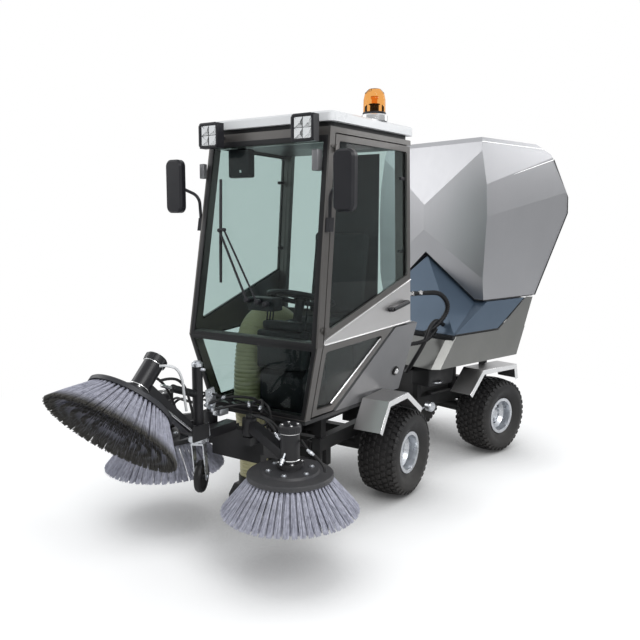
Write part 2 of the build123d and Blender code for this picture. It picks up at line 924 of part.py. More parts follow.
collar = Pos(neck_x, neck_y, 0) * stack(hose_radius + 8, 60, mouth_high - 10)
throat = Pos(neck_x, neck_y, 0) * stack(hose_radius - hose_wall, 300, mouth_floor + 60)
mouth = (mouth_hood(0) + collar) - [mouth_hood(mouth_wall), throat]
for side in (1, -1):
    y = side * beam_y
    mouth = mouth + block(
        (mouth_x[0] + 36, mouth_x[0] + 56), (y - 18, y + 18), (mouth_high - 13, beam_low - seat_gap)
    )
nodes["suction_mouth"] = mouth

wall_hole_z = 868.0
hose_points = [
    (neck_x, neck_y, collar_top + seat_gap),
    (neck_x, neck_y, 350),
    (hose_low_x, hose_y, 520),
    (hose_low_x + 8, hose_y, 760),
    (hose_low_x - 60, hose_y - 15, 1000),
    (hose_low_x - 290, hose_y - 25, 1010),
    (wall_x + 140, hose_y - 25, wall_hole_z),
    (wall_x - 30, hose_y - 25, wall_hole_z),
]


nodes["suction_hose"] = tube(hose_points, hose_radius, hose_radius - hose_wall)
wall_hole = cyl(
    hose_radius + seat_gap,
    (wall_x - 60, hose_y - 25, wall_hole_z),
    (wall_x + 60, hose_y - 25, wall_hole_z),
)
nodes["cab_rear_wall"] = nodes["cab_rear_wall"] - wall_hole

# ---------------------------------------------------------------- lamps, beacon, mirrors
lamp_z = 1940.0
lamp_y = 280.0
lamp_half = 60.0
lamp_depth = 68.0
lamp_reach = 104.0
lens_depth = 12.0
lens_inset = 8.0
lamp_face = screen.at(lamp_y, lamp_z).X + lamp_reach


def lamp_square(inset, low, high):
    """A square block about the lamp's axis between two distances behind its face."""
    half = lamp_half - inset
    return block(
        (lamp_face - high, lamp_face - low),
        (lamp_y - half, lamp_y + half),
        (lamp_z - half, lamp_z + half),
    )


lamp_body = lamp_square(0, 0, lamp_depth)
lamp_body = chamfer(lamp_body.faces().sort_by(Axis.X)[0].edges(), 24)
lamp_body = lamp_body - lamp_square(lens_inset, -5, lens_depth)
stem_z = lamp_z - 4
lamp_stem = bar(
    30,
    14,
    (screen.at(lamp_y, stem_z + 7).X + seat_gap + 2, lamp_y, stem_z),
    (lamp_face - lamp_depth + 10, lamp_y, stem_z),
)
nodes["work_lamps"] = both_sides(lamp_body + lamp_stem)
nodes["work_lamp_lenses"] = both_sides(lamp_square(lens_inset + seat_gap, 0, lens_depth - seat_gap))

beacon_at = (270.0, 350.0)
beacon_radius = 66.0
beacon_base_high = 34.0
dome_profile = [(0, 0), (56, 0), (55, 70), (48, 104), (30, 122), (0, 128)]
beacon_base = Pos(*beacon_at, 0) * stack(beacon_radius, beacon_base_high, roof_top + seat_gap)
nodes["beacon_base"] = chamfer(beacon_base.edges().group_by(Axis.Z)[-1], 8)
nodes["beacon_dome"] = Pos(*beacon_at, roof_top + beacon_base_high + 2 * seat_gap) * revolved(dome_profile)

mirror_z = 1700.0
mirror_half = (55.0, 134.0)
mirror_x = (790.0, 826.0)
mirror_y = 507.0
clamp_z = 1508.0
clamp_half = (16.0, 32.0)
clamp_proud = 24.0
mirror_head = block(
    mirror_x,
    (mirror_y - mirror_half[0], mirror_y + mirror_half[0]),
    (mirror_z - mirror_half[1], mirror_z + mirror_half[1]),
)
mirror_head = fillet(mirror_head.edges().filter_by(Axis.X), 34)
mirror_head = chamfer(mirror_head.faces().sort_by(Axis.X)[-1].edges(), 10)
clamp_x = front_x(clamp_z) - pillar_width / 2
clamp_slope = (front_x(clamp_z + 1) - front_x(clamp_z)) * clamp_half[1]
clamp = upper_side.slab(
    [
        (clamp_x - clamp_half[0] - clamp_slope, clamp_z - clamp_half[1]),
        (clamp_x + clamp_half[0] - clamp_slope, clamp_z - clamp_half[1]),
        (clamp_x + clamp_half[0] + clamp_slope, clamp_z + clamp_half[1]),
        (clamp_x - clamp_half[0] + clamp_slope, clamp_z + clamp_half[1]),
    ],
    -clamp_proud,
    -seat_gap,
)
arm_foot = upper_side.at(clamp_x, clamp_z) + upper_side.normal * (clamp_proud - 10)
arm_path = [
    arm_foot,
    arm_foot + Vector(8, 4, mirror_z - clamp_z - 50),
    Vector(mirror_x[0] + 6, mirror_y - mirror_half[0] + 18, mirror_z - 10),
]
nodes["mirrors"] = both_sides(union([mirror_head, clamp, tube(arm_path, 8, 0, 0.4)]))

# ---------------------------------------------------------------- lift linkage and deck
rise = math.radians(link_rise)
link_dx = link_length * math.cos(rise)
link_dz = link_length * math.sin(rise)


def link(y, z):
    """A flat link bar with an eye at each end, raised by its rest angle."""
    a = (link_root_x, y, z)
    b = (link_root_x + link_dx, y, z + link_dz)
    body = bar(link_thick, 2 * link_half_height, a, b)
    for p in (a, b):
        inside = (p[0], y - link_thick / 2, p[2])
        outside = (p[0], y + link_thick / 2, p[2])
        body = body + cyl(link_half_height + 3, inside, outside)
    for p in (a, b):
        body = body - cyl(9 + running_gap, (p[0], y - 40, p[2]), (p[0], y + 40, p[2]))
    return body


def cross_tube(z):
    mid = 0.42
    tube_x = link_root_x + mid * link_dx
    tube_z = z + mid * link_dz
    return cyl(15, (tube_x, -link_y, tube_z), (tube_x, link_y, tube_z))


low_links = [link(link_y, link_root_low), link(-link_y, link_root_low)]
nodes["lift_arms"] = union(low_links + [cross_tube(link_root_low)])
nodes["lift_links"] = union([link(link_y, root_high), link(-link_y, root_high)] + [cross_tube(root_high)])

deck_x = link_root_x + link_dx
deck_low = link_root_low + link_dz
spine_z = (540.0, 582.0)
spine_half = 30.0
deck_beam_x = (deck_x + 50, deck_x + 100)
deck_parts = [
    block(deck_beam_x, (-170, 170), (deck_low + 30, spine_z[0] + weld)),
    block((deck_x + 90, mast_x + 10), (mast_y - spine_half, mast_y + spine_half), spine_z),
]
for z in (deck_low, deck_low + link_spacing):
    deck_parts += clevis(deck_x, deck_beam_x[0] + weld - deck_x, z)
deck_parts.append(
    block((deck_beam_x[0] + weld, deck_beam_x[1] - weld), (-150, 150), (deck_low - 20, deck_low + 40))
)
arm_pin_radius = 18.0
for side in (1, -1):
    y = side * arm_root_y
    deck_parts.append(block((deck_x + 90, arm_root_x + 26), (y - 26, y + 26), (500, 540 - weld)))
    deck_parts.append(cyl(arm_pin_radius, (arm_root_x, y, 530), (arm_root_x, y, 640)))
mast_low = deck_raise + 245.0
mast_top = 880.0
swivel_radius = 12.0
swivel_top = 690.0
deck_parts.append(cyl(24, (mast_x, mast_y, spine_z[1] - weld), (mast_x, mast_y, mast_top)))
deck_parts.append(
    block(
        (mast_x - 32, mast_x + 32),
        (mast_y - 33, mast_y + 33),
        (mast_low + 6, spine_z[1] + weld),
    )
)
boom_x, boom_z = boom_pivot
for side in (1, -1):
    y = mast_y + side * 42
    deck_parts.append(
        block((mast_x - 20, boom_x + 24), (y - 5, y + 5), (spine_z[0] + 15, boom_z + 24))
    )
    deck_parts.append(
        block(
            (mast_x - 16, mast_x + 16),
            (min(mast_y, y), max(mast_y, y)),
            (spine_z[0] + 20, spine_z[1] + 8),
        )
    )
deck_parts.append(cyl(link_pin_radius, (boom_x, mast_y - 46, boom_z), (boom_x, mast_y + 46, boom_z)))
nodes["deck_frame"] = union(deck_parts) - cyl(
    swivel_radius + running_gap, (mast_x, mast_y, mast_low - 20), (mast_x, mast_y, swivel_top)
)

# ---------------------------------------------------------------- caster
axle_z = deck_raise + caster_radius
fork_top = mast_low
fork_half = 24.0
fork_plate = 5.0
caster_axle_radius = 6.0
fork_parts = [
    stack(34, 5.5, fork_top),
    block((-28, 28), (-fork_half - fork_plate, fork_half + fork_plate), (fork_top - 8, fork_top + 1)),
    stack(swivel_radius, swivel_top - 5 - fork_top, fork_top),
    cyl(
        caster_axle_radius,
        (-caster_trail, -fork_half - 8, axle_z),
        (-caster_trail, fork_half + 8, axle_z),
    ),
]
leg = [
    (-26, fork_top),
    (26, fork_top),
    (15 - caster_trail, axle_z - 14),
    (-15 - caster_trail, axle_z - 14),
]
for low in (fork_half, -fork_half - fork_plate):
    fork_parts.append(prism("y", leg, low, low + fork_plate))
caster_place = Pos(mast_x, mast_y, 0) * Rot(0, 0, caster_turn - 180)
nodes["caster_fork"] = caster_place * union(fork_parts)
caster_bore = caster_axle_radius + running_gap
caster_half = [(caster_bore, 20), (14, 20), (16, 10), (58, 8), (60, 17), (70, 15), (caster_radius, 7)]
caster_profile = caster_half + [(r, -z) for r, z in reversed(caster_half)]
nodes["caster_wheel"] = (
    caster_place * Pos(-caster_trail, 0, axle_z) * Rot(90, 0, 0) * revolved(caster_profile)
)

# ---------------------------------------------------------------- brushes
disc_low = bristle_drop
disc_high = disc_low + disc_thick


def brush_disc():
    """A two-step plastic disc with its drive boss, drawn about Z with the tips at height 0."""
    body = revolved(
        [
            (0, disc_low),
            (disc_radius, disc_low),
            (disc_radius, disc_low + disc_thick - 6),
            (disc_radius - 4, disc_low + disc_thick - 2),
            (128, disc_low + disc_thick + 2),
            (122, disc_high + 12),
            (40, disc_high + 14),
            (36, disc_high + 30),
            (12, disc_high + 30),
            (12, disc_high + 70),
            (0, disc_high + 70),
        ]
    )
    return body


def bristles(tip):
    """The bristle skirt: a band of tufts that spreads from under the disc."""
    top = disc_low - seat_gap
    root = disc_radius - 6
    return revolved([(root - bristle_band, top), (root, top), (tip, 4), (tip - 4, 0), (tip - 60, 0)])


def brush_motor(plate_low):
    """Motor on its flange, over the boss."""
    flange = Pos(0, 0, plate_low) * Cylinder(58, 14, align=(Align.CENTER, Align.CENTER, Align.MIN))
    can = stack(brush_motor_radius, brush_motor_height, plate_low + 14)
    cap = stack(brush_motor_radius + 6, 34, plate_low + 14 + brush_motor_height)
    cap = chamfer(cap.edges().group_by(Axis.Z)[-1], 6)
    bore = stack(12 + running_gap, 50, plate_low - 5)
    return union([flange, can, cap]) - bore


plate_low = disc_high + 30 + seat_gap + 0.2
disc = brush_disc()
tips = bristles(tip_radius)
for name, side in sides.items():
    angle = math.radians(arm_angles[name])
    bx = arm_root_x + arm_reach * math.cos(angle)
    by = side * (arm_root_y + arm_reach * math.sin(angle))
    base_z = deck_raise + tip_clearance
    here = Pos(bx, by, base_z)
    nodes[f"{name}_brush_disc"] = here * disc
    nodes[f"{name}_brush_bristles"] = here * tips
    root = (arm_root_x, side * arm_root_y, 590.0)
    head = (bx, by, base_z + plate_low + 36)
    ux, uy = math.cos(angle), side * math.sin(angle)
    near = (root[0] + 30 * ux, root[1] + 30 * uy, root[2])
    far = (bx - 36 * ux, by - 36 * uy, head[2])
    arm = union(
        [
            bar(46, 46, near, far),
            cyl(34, (root[0], root[1], 545), (root[0], root[1], 625)),
            here * brush_motor(plate_low),
        ]
    )
    arm = arm - cyl(18 + running_gap, (root[0], root[1], 500), (root[0], root[1], 660))
    nodes[f"{name}_brush_arm"] = arm

front_place = Pos(boom_disc[0], mast_y, boom_disc[1]) * Rot(0, -boom_tilt, 0) * Pos(0, 0, -disc_high)
nodes["front_brush_disc"] = front_place * disc
nodes["front_brush_bristles"] = front_place * bristles(front_tip_radius)
tilt = math.radians(boom_tilt)
axis_x, axis_z = -math.sin(tilt), math.cos(tilt)
head_up = plate_low - disc_high + 40
boom_head = (boom_disc[0] + axis_x * head_up, mast_y, boom_disc[1] + axis_z * head_up)
boom_axis = Vector(boom_head[0] - boom_pivot[0], 0, boom_head[2] - boom_pivot[1]).normalized()
boom_start = (boom_pivot[0] + boom_axis.X * 20, mast_y, boom_pivot[1] + boom_axis.Z * 20)
boom_end = (boom_head[0] - boom_axis.X * 36, mast_y, boom_head[2] - boom_axis.Z * 36)
boom = union(
    [
        bar(50, 46, boom_start, boom_end),
        cyl(26, (boom_pivot[0], mast_y - 36, boom_pivot[1]), (boom_pivot[0], mast_y + 36, boom_pivot[1])),
        front_place * brush_motor(plate_low),
    ]
)
boom_bore_ends = [(boom_pivot[0], mast_y + side * 60, boom_pivot[1]) for side in (-1, 1)]
boom = boom - cyl(9 + running_gap, *boom_bore_ends)
nodes["front_boom"] = boom

# ---------------------------------------------------------------- rear chassis
tray_low = 812.0
tray_high = 836.0
tray_x = (-925.0, -155.0)
skirt_y = body_half
tray_half = skirt_y - sheet - seat_gap
ear_y = 352.0
ear_thick = 30.0
hinge_x, hinge_z = hopper_hinge
hinge_pin = 10.0
bracket_x = (-620.0, -560.0)
rear_parts = [
    stack(44, yoke_high - yoke_low - 2 * (yoke_plate + seat_gap), yoke_low + yoke_plate + seat_gap),
    block((-170, -20), (-34, 34), (yoke_low + yoke_plate + 6, yoke_high - yoke_plate - 6)),
    block((-200, -152), (-frame_half, frame_half), (300, beam_high - weld)),
    block((-950, -900), (-frame_half, frame_half), (beam_low + weld, beam_high - weld)),
    block(tray_x, (-tray_half, tray_half), (tray_low, tray_high))
    - block((-840, -240), (-215, 215), (tray_low - 50, tray_high + 50)),
]
for side in (1, -1):
    y = side * beam_y
    rear_parts.append(block((-940, -160), (y - beam_half, y + beam_half), (beam_low, beam_high)))
    for x in (-180, -540, -890):
        rear_parts.append(block((x - 18, x + 18), (y - 20, y + 20), (beam_high - weld, tray_low + weld)))
    y = side * ear_y
    rear_parts.append(
        prism(
            "y",
            [
                (-880, tray_high - weld),
                (-922, tray_high - weld),
                (hinge_x - 24, hinge_z - 8),
                (hinge_x - 10, hinge_z + 20),
                (hinge_x + 20, hinge_z + 18),
                (-880, 960),
            ],
            y - ear_thick / 2,
            y + ear_thick / 2,
        )
    )
    rear_parts.append(
        cyl(hinge_pin, (hinge_x, side * (ear_y + 12), hinge_z), (hinge_x, side * (ear_y - 46), hinge_z))
    )
    bracket_low = max(crown_z(rear_fender_profile, x) for x in bracket_x) + seat_gap
    rear_parts.append(block(bracket_x, (side * 356 - 5, side * 356 + 5), (bracket_low, tray_low + weld)))
pivot_bore = stack(pin_radius + running_gap, 500, 100)
nodes["rear_frame"] = place_rear(union(rear_parts) - pivot_bore)
nodes["rear_axle"] = place_rear(union([axle(-rear_axle_back)] + saddles(-rear_axle_back)))
nodes["engine_block"] = place_rear(
    block((-580, -250), (-118, 118), (beam_high - 20, 870))
    + block((-500, -300), (-frame_half, frame_half), (beam_high + seat_gap, beam_high + 12))
)

# ---------------------------------------------------------------- engine cover
nose = (-181.0, cover_low + 6)
crest = (-505.0, cover_top)
cover_gap = 8.0
heel = (-602.0, 828.0)
heel_top = (-931.0, cover_top)
gable_foot_y = 372.0
gable_ridge = (-470.0, gable_top)


def profile_facet(a, b, outward):
    """A skin across the whole width through two (x, z) points."""
    return Facet((a[0], -100, a[1]), (a[0], 100, a[1]), (b[0], 0, b[1]), "x", outward)


def cover_body(inset):
    """The cover's outer form moved inwards: a low wedge with a gabled bonnet in front."""
    half = body_half - inset
    low = cover_low if inset == 0 else cover_low - 30
    base = block((-960, 0), (-half, half), (low, cover_top - inset - cover_gap))
    base = base - profile_facet(nose, crest, (1, 0, 1)).half_space(inset)
    base = base - profile_facet(heel, heel_top, (-1, 0, -1)).half_space(inset)
    gable = block((-600, 0), (-half, half), (low, gable_top))
    brow = profile_facet(nose, (-440, gable_top - 15), (1, 0, 0.4))
    gable = gable - brow.half_space(inset)
    for side in (1, -1):
        cheek = Facet(
            (nose[0], side * body_half, nose[1]),
            (-500, side * gable_foot_y, cover_top),
            (gable_ridge[0], 0, gable_ridge[1]),
            "y",
            (0, side, 1),
        )
        gable = gable - cheek.half_space(inset + cover_gap)
    return base + gable


def under_hopper(gap):
    """The space that the hopper takes, down to a gap above its gabled floor."""
    low, high = cover_top - gap, gable_top - gap
    outline = [
        (-beyond, low),
        (-gable_foot_y, low),
        (0, high),
        (gable_foot_y, low),
        (beyond, low),
        (beyond, beyond),
        (-beyond, beyond),
    ]
    return prism("x", outline, -1600, -395)


cover = (cover_body(0) - under_hopper(cover_gap)) - (
    cover_body(sheet) - under_hopper(cover_gap + sheet)
)
nodes["engine_cover"] = place_rear(cover)

# ---------------------------------------------------------------- skirts, legs and rear mudguards
skirt_top = tray_high - 4
apron_low = (-3.0, skirt_low)
apron_high = (-127.0, skirt_high)
skirt_corner = 40.0
skirt_rear = [(-841.0, skirt_low - 5), (-918.0, skirt_high)]


def skirt_body(inset, low):
    """The grey lower body: two sides, a sloping front apron and chamfered front corners."""
    half = skirt_y - inset
    body = block((-1000, 0), (-half, half), (low, skirt_top))
    body = body - profile_facet(apron_low, apron_high, (1, 0, 1)).half_space(inset)
    for side in (1, -1):
        corner = Facet(
            (apron_low[0], side * (skirt_y - skirt_corner), apron_low[1]),
            (apron_high[0], side * (skirt_y - skirt_corner), apron_high[1]),
            (apron_low[0] - skirt_corner, side * skirt_y, apron_low[1]),
            "y",
            (0.5, side, 0.5),
        )
        body = body - corner.half_space(inset)
    return body


skirts = skirt_body(0, skirt_low) - skirt_body(sheet, skirt_low - 50)
skirts = skirts - profile_facet(*skirt_rear, (-1, 0, 0)).half_space(0)
skirts = skirts - block((-1100, -200), (-skirt_y + 20, skirt_y - 20), (600, 900))
skirts = skirts - block((-400, 100), (-tray_half - seat_gap, tray_half + seat_gap), (tray_low - 1, 900))


def under_cover(x):
    """Height of the cover's rising underside at a station behind its heel."""
    return heel[1] + (heel[0] - x) / (heel[0] - heel_top[0]) * (heel_top[1] - heel[1])


leg_outline = [
    (heel[0] - 22, skirt_top),
    (-935, under_cover(-935) - 5),
    (-1012, cover_top - 8),
    (tray_x[0], skirt_top),
]
legs = []
for side in (1, -1):
    outer_y, inner_y = side * skirt_y, side * (skirt_y - sheet)
    legs.append(prism("y", leg_outline, min(outer_y, inner_y), max(outer_y, inner_y)))
    tab_y = side * (ear_y + ear_thick / 2 + seat_gap)
    legs.append(
        block((tray_x[0], -880), (min(tab_y, inner_y + side), max(tab_y, inner_y + side)),
              (tray_high + seat_gap, tray_high + 12))
    )
nodes["side_skirts"] = place_rear(union([skirts] + legs))
nodes["rear_fenders"] = place_rear(both_sides(fender(rear_fender_profile, fender_inner)))
tail_x = -950.0 - seat_gap
nodes["tail_lamps"] = place_rear(
    both_sides(block((tail_x - 18, tail_x), (60, frame_half - weld), (beam_low + 6, beam_high - 6)))
)

# ---------------------------------------------------------------- hopper
hopper_top = 2056.0
shoulder = hopper_top - 34.0
lid_y = 370.0
sill = shoulder - 69.0
eave = (-1135.0, shoulder)
ridge_y = 462.0
brow_y = 452.0
shoulder_y = 408.0
rear_line = [(-1201.0, sill), (-1390.0, 1705.0), (-1401.0, 1595.0), (-1058.0, cover_top)]
door_depth = 28.0


def hopper_body(inset, rear_inset):
    """The faceted hopper with every skin moved inwards, the rear skins by a value of their own."""
    body = block((-beyond, -300), (-beyond, beyond), (cover_top + inset, hopper_top - inset))
    skins = [
        Facet((-400, 100, 1410), (-400, -100, 1410), (-464, 0, cover_top), "x", (1, 0, -0.2)),
        Facet((-400, 100, 1720), (-400, -100, 1720), (-445, 0, shoulder), "x", (1, 0, 0.2)),
        Facet((-445, 100, shoulder), (-445, -100, shoulder), (-490, 0, hopper_top), "x", (1, 0, 1)),
        profile_facet(eave, rear_line[0], (-1, 0, 1)),
    ]
    for s in (1, -1):
        ridge, brow, top, lid = s * ridge_y, s * brow_y, s * shoulder_y, s * lid_y
        skins += [
            Facet((-400, s * 100, 1500), (-441, s * 450, 1500), (-400, s * 100, 1700), "x", (1, 0, 0)),
            Facet((-441, ridge, 1560), (-1370, ridge, 1740), (-505, s * 440, cover_top), "y", (0, s, 0)),
            Facet((-441, ridge, 1560), (-1370, ridge, 1740), (-441, brow, 1760), "y", (0, s, 0)),
            Facet((-441, brow, 1760), (-1201, brow, sill), (-500, top, shoulder), "y", (0, s, 0)),
            Facet((-441, top, shoulder), (-1201, top, shoulder), (-441, lid, hopper_top), "y", (0, s, 1)),
        ]
    for skin in skins:
        body = body - skin.half_space(inset)
    for a, b in zip(rear_line, rear_line[1:]):
        body = body - profile_facet(a, b, (-1, 0, 0)).half_space(rear_inset)
    foot = gable_foot_y + inset
    floor = cover_top + inset
    gable = [(-foot, 0), (-foot, floor), (0, gable_top + 1.4 * inset), (foot, floor), (foot, 0)]
    return body - prism("x", gable, -beyond, 0)


sill_point = Vector(rear_line[0][0], 0, rear_line[0][1])
door_run = (Vector(rear_line[1][0], 0, rear_line[1][1]) - sill_point).normalized()
door_out = Vector(door_run.Z, 0, -door_run.X)
eave_run = (Vector(eave[0], 0, eave[1]) - sill_point).normalized()
eave_out = Vector(-eave_run.Z, 0, eave_run.X)


def below_sill(gap):
    """Everything on the rear door's side of the line where the door ends at the top."""
    return Plane(origin=sill_point + door_run * gap, z_dir=door_run) * Box(
        beyond, beyond, beyond, align=(Align.CENTER, Align.CENTER, Align.MIN)
    )


outer = hopper_body(0, 0)
door = (outer - hopper_body(-6, door_depth)) & below_sill(seat_gap)
door_space = (outer - hopper_body(-6, door_depth + seat_gap)) & below_sill(0)
shell = outer - [door_space, hopper_body(hopper_wall, -60)]
lug_outline = [
    (-960, 1085),
    (-1040, 1085),
    (hinge_x - 16, hinge_z - 10),
    (hinge_x, hinge_z - 17),
    (hinge_x + 16, hinge_z - 10),
]
lug_y = (ear_y - 40, ear_y - 22)
inner_space = hopper_body(hopper_wall - 1, door_depth + 2)
for side in (1, -1):
    lug = prism("y", lug_outline, *sorted(side * y for y in lug_y))
    shell = shell + (lug - inner_space)
    pin_hole = cyl(hinge_pin + running_gap, (hinge_x, side * 250, hinge_z), (hinge_x, side * 420, hinge_z))
    shell = shell - pin_hole
barrel_radius = 9.0
barrel_proud = 12.0
strap_width = 40.0
door_axis = sill_point + door_out * barrel_proud
for y in (-250, 250):
    across = Vector(0, 1, 0)
    at = across * y
    middle = across * (strap_width / 2 + seat_gap)
    door = door + [
        cyl(barrel_radius, door_axis + at - across * strap_width, door_axis + at - across * seat_gap),
        bar(
            strap_width - seat_gap, 7,
            sill_point + at - middle + door_out * 2.5 + door_run,
            sill_point + at - middle + door_out * 2.5 + door_run * 70,
            door_out,
        ),
    ]
    shell = shell + [
        cyl(barrel_radius, door_axis + at + across * seat_gap, door_axis + at + across * strap_width),
        bar(
            strap_width - seat_gap, 7,
            sill_point + at + middle + eave_out * 2.5 + eave_run,
            sill_point + at + middle + eave_out * 2.5 + eave_run * 60,
            eave_out,
        ),
    ]
nodes["hopper"] = place_rear(shell)
nodes["hopper_door"] = place_rear(door)

# ---------------------------------------------------------------- hydraulic hose
brow_skin = profile_facet(nose, (-440, gable_top - 15), (1, 0, 0.4))
outlet = brow_skin.at(330, nose[1] + 46)
hydraulic_points = [
    outlet + brow_skin.normal * seat_gap,
    outlet + brow_skin.normal * 75,
    (-58, 352, 900),
    (-8, 350, 800),
    (36, 310, 695),
    (16, 235, 606),
    (-70, beam_y, 596),
    (-162 + seat_gap, beam_y, 596),
]
nodes["hydraulic_hose"] = place_rear(tube(hydraulic_points, 13))

# ---------------------------------------------------------------- one origin under the middle
boxes = [shape.bounding_box() for shape in nodes.values()]
low = [min(getattr(box.min, axis) for box in boxes) for axis in "XYZ"]
high = [max(getattr(box.max, axis) for box in boxes) for axis in "XYZ"]
shift = Pos(-(low[0] + high[0]) / 2, -(low[1] + high[1]) / 2, -low[2])
print("shift", [round(value, 3) for value in shift.position])
print("overall", [round(b - a, 1) for a, b in zip(low, high)])
for name, shape in nodes.items():
    placed = Compound([shift * solid for solid in shape.solids()])
    export_step(placed, f"parts/{name}.step")
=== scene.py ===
# %% [markdown]
# # Dressing a compact road sweeper
# The machine has two halves. The front one carries the cab and pushes a deck of
# brushes. The rear one carries the engine and a steel hopper, and it swings about
# an upright pivot to steer. The solids come in ready made, at their real size.
# This lesson lights them, gives every surface its finish, and models by hand what
# only shows close up: tyre blocks, bristles, hose ridges, wiper, bolts and hoses.

# %% Load the solids
import json
import math
from contextlib import contextmanager

import bpy
import bmesh
from mathutils import Matrix, Vector


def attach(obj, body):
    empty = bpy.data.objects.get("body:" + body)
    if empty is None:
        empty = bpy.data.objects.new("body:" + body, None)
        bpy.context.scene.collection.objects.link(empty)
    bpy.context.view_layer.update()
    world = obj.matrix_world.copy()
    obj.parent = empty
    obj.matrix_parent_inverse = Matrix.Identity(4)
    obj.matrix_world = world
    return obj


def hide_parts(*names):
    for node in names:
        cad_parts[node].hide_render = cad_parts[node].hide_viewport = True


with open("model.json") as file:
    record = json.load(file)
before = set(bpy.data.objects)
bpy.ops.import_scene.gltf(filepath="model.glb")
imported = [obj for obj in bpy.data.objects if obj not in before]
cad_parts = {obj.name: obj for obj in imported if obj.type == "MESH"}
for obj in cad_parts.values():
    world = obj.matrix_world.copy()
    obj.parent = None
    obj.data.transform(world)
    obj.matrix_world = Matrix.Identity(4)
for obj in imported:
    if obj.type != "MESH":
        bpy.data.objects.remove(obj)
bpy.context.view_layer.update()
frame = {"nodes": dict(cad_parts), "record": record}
nodes = frame["nodes"]
bpy.ops.object.select_all(action="DESELECT")

# %% [markdown]
# Two drawing boards make the places easy to read. The front board starts on the
# ground under the front axle, the rear one at the pivot, and both are written in
# millimetres, as a workshop drawing is. The rear board is turned by the steering
# angle at which the machine stands.

# %% The two drawing boards
FRONT_AXLE, PIVOT, STEERED = (0.038977, -0.033663, 0.0), (-0.495, 0, 0), -15.5
front_board = Matrix.Translation(FRONT_AXLE)
rear_board = (
    front_board @ Matrix.Translation(PIVOT) @ Matrix.Rotation(math.radians(STEERED), 4, "Z")
)


def front(x, y, z):
    return front_board @ (Vector((x, y, z)) / 1000)


def rear(x, y, z):
    return rear_board @ (Vector((x, y, z)) / 1000)


# %% [markdown]
# The camera stands at the height of a person's chest, a little above the hood of
# such a small machine, and looks down by under eight degrees. Its lens is a normal
# one: a wide lens would swell the cab, a long lens would flatten the hopper.

# %% Camera
HEADING, TILT, ROLL = 33.313, 7.702, 0.183
eye = bpy.data.cameras.new("eye")
eye.lens = 39.66
eye.sensor_width = 36.0
camera = bpy.data.objects.new("camera", eye)
bpy.context.scene.collection.objects.link(camera)
camera.matrix_world = (
    Matrix.Translation(front(3464, 2127, 1509))
    @ Matrix.Rotation(math.radians(90 + HEADING), 4, "Z")
    @ Matrix.Rotation(math.radians(90 - TILT), 4, "X")
    @ Matrix.Rotation(math.radians(ROLL), 4, "Z")
)
bpy.context.scene.camera = camera
print("camera at", [round(v, 3) for v in camera.location])

# %% [markdown]
# A product is lit softly, so that metal shows long clean highlights. Three wide area
# lamps do that: a key above the left shoulder, a fill low on the right, just where
# the hopper's front mirrors it, and a weak one from behind for the roof's far edge.
# A ray that comes through a pane doesn't see them, or they would leave bright specks
# on the cab's dark lining.

# %% Lamps
def soft_lamp(name, place, aim, size, watts):
    light = bpy.data.lights.new(name, "AREA")
    light.shape = "RECTANGLE"
    light.size, light.size_y = size
    light.energy = watts
    lamp = bpy.data.objects.new(name, light)
    bpy.context.scene.collection.objects.link(lamp)
    lamp.location = place
    lamp.rotation_euler = (Vector(aim) - Vector(place)).to_track_quat("-Z", "Y").to_euler()
    lamp.visible_transmission = False
    return lamp


soft_lamp("key", (3.2, 4.4, 4.6), (0, 0, 0.9), (3.5, 2.5), 170)
soft_lamp("fill", (2.1, -4.3, 3.0), (-0.9, 0.2, 1.7), (3.6, 2.3), 54)
soft_lamp("back", (-4.2, 2.6, 3.8), (-0.6, 0, 1.0), (2.5, 2.5), 50)

# %% [markdown]
# Nodes are put down and wired in one go: each input of a node gets either a plain
# value or the output of another node. The same few helpers serve the sky and every
# finish.

# %% Helpers for nodes
def wire(tree, step, inputs):
    """Gives each input of a node a plain value, or a wire from another node's output."""
    for socket, value in inputs.items():
        if isinstance(value, bpy.types.NodeSocket):
            tree.links.new(value, step.inputs[socket])
        else:
            step.inputs[socket].default_value = value
    return step


def put(tree, kind, **inputs):
    """Adds a node and feeds it. An underscore in an input's name stands for a space."""
    step = tree.nodes.new("ShaderNode" + kind)
    return wire(tree, step, {label.replace("_", " "): value for label, value in inputs.items()})


def maths(tree, operation, a, b):
    step = tree.nodes.new("ShaderNodeMath")
    step.operation = operation
    return wire(tree, step, {0: a, 1: b}).outputs[0]


def ranged(tree, value, low=0.0, high=1.0, start=0.0, end=1.0, curve="LINEAR"):
    """Turns the range from low to high into the range from start to end."""
    step = tree.nodes.new("ShaderNodeMapRange")
    step.interpolation_type = curve
    feeds = {"Value": value, "From Min": low, "From Max": high, "To Min": start, "To Max": end}
    return wire(tree, step, feeds).outputs["Result"]


def blended(tree, factor, a, b):
    """Mixes two colours."""
    step = tree.nodes.new("ShaderNodeMix")
    step.data_type = "RGBA"
    return wire(tree, step, {"Factor": factor, "A": a, "B": b}).outputs["Result"]


def either_light(tree, factor, a, b):
    """Mixes two shaders."""
    step = tree.nodes.new("ShaderNodeMixShader")
    return wire(tree, step, {0: factor, 1: a.outputs[0], 2: b.outputs[0]})


# %% [markdown]
# The world has three faces. The camera, and whatever looks through glass, sees pure
# white. Shiny metal sees a sky that is bright overhead and falls off to a dim
# horizon, because a flat white room would wash every panel out. Matt surfaces get
# a plain soft light, also through the panes: a ray that has already bounced off
# something matt doesn't count as looking.

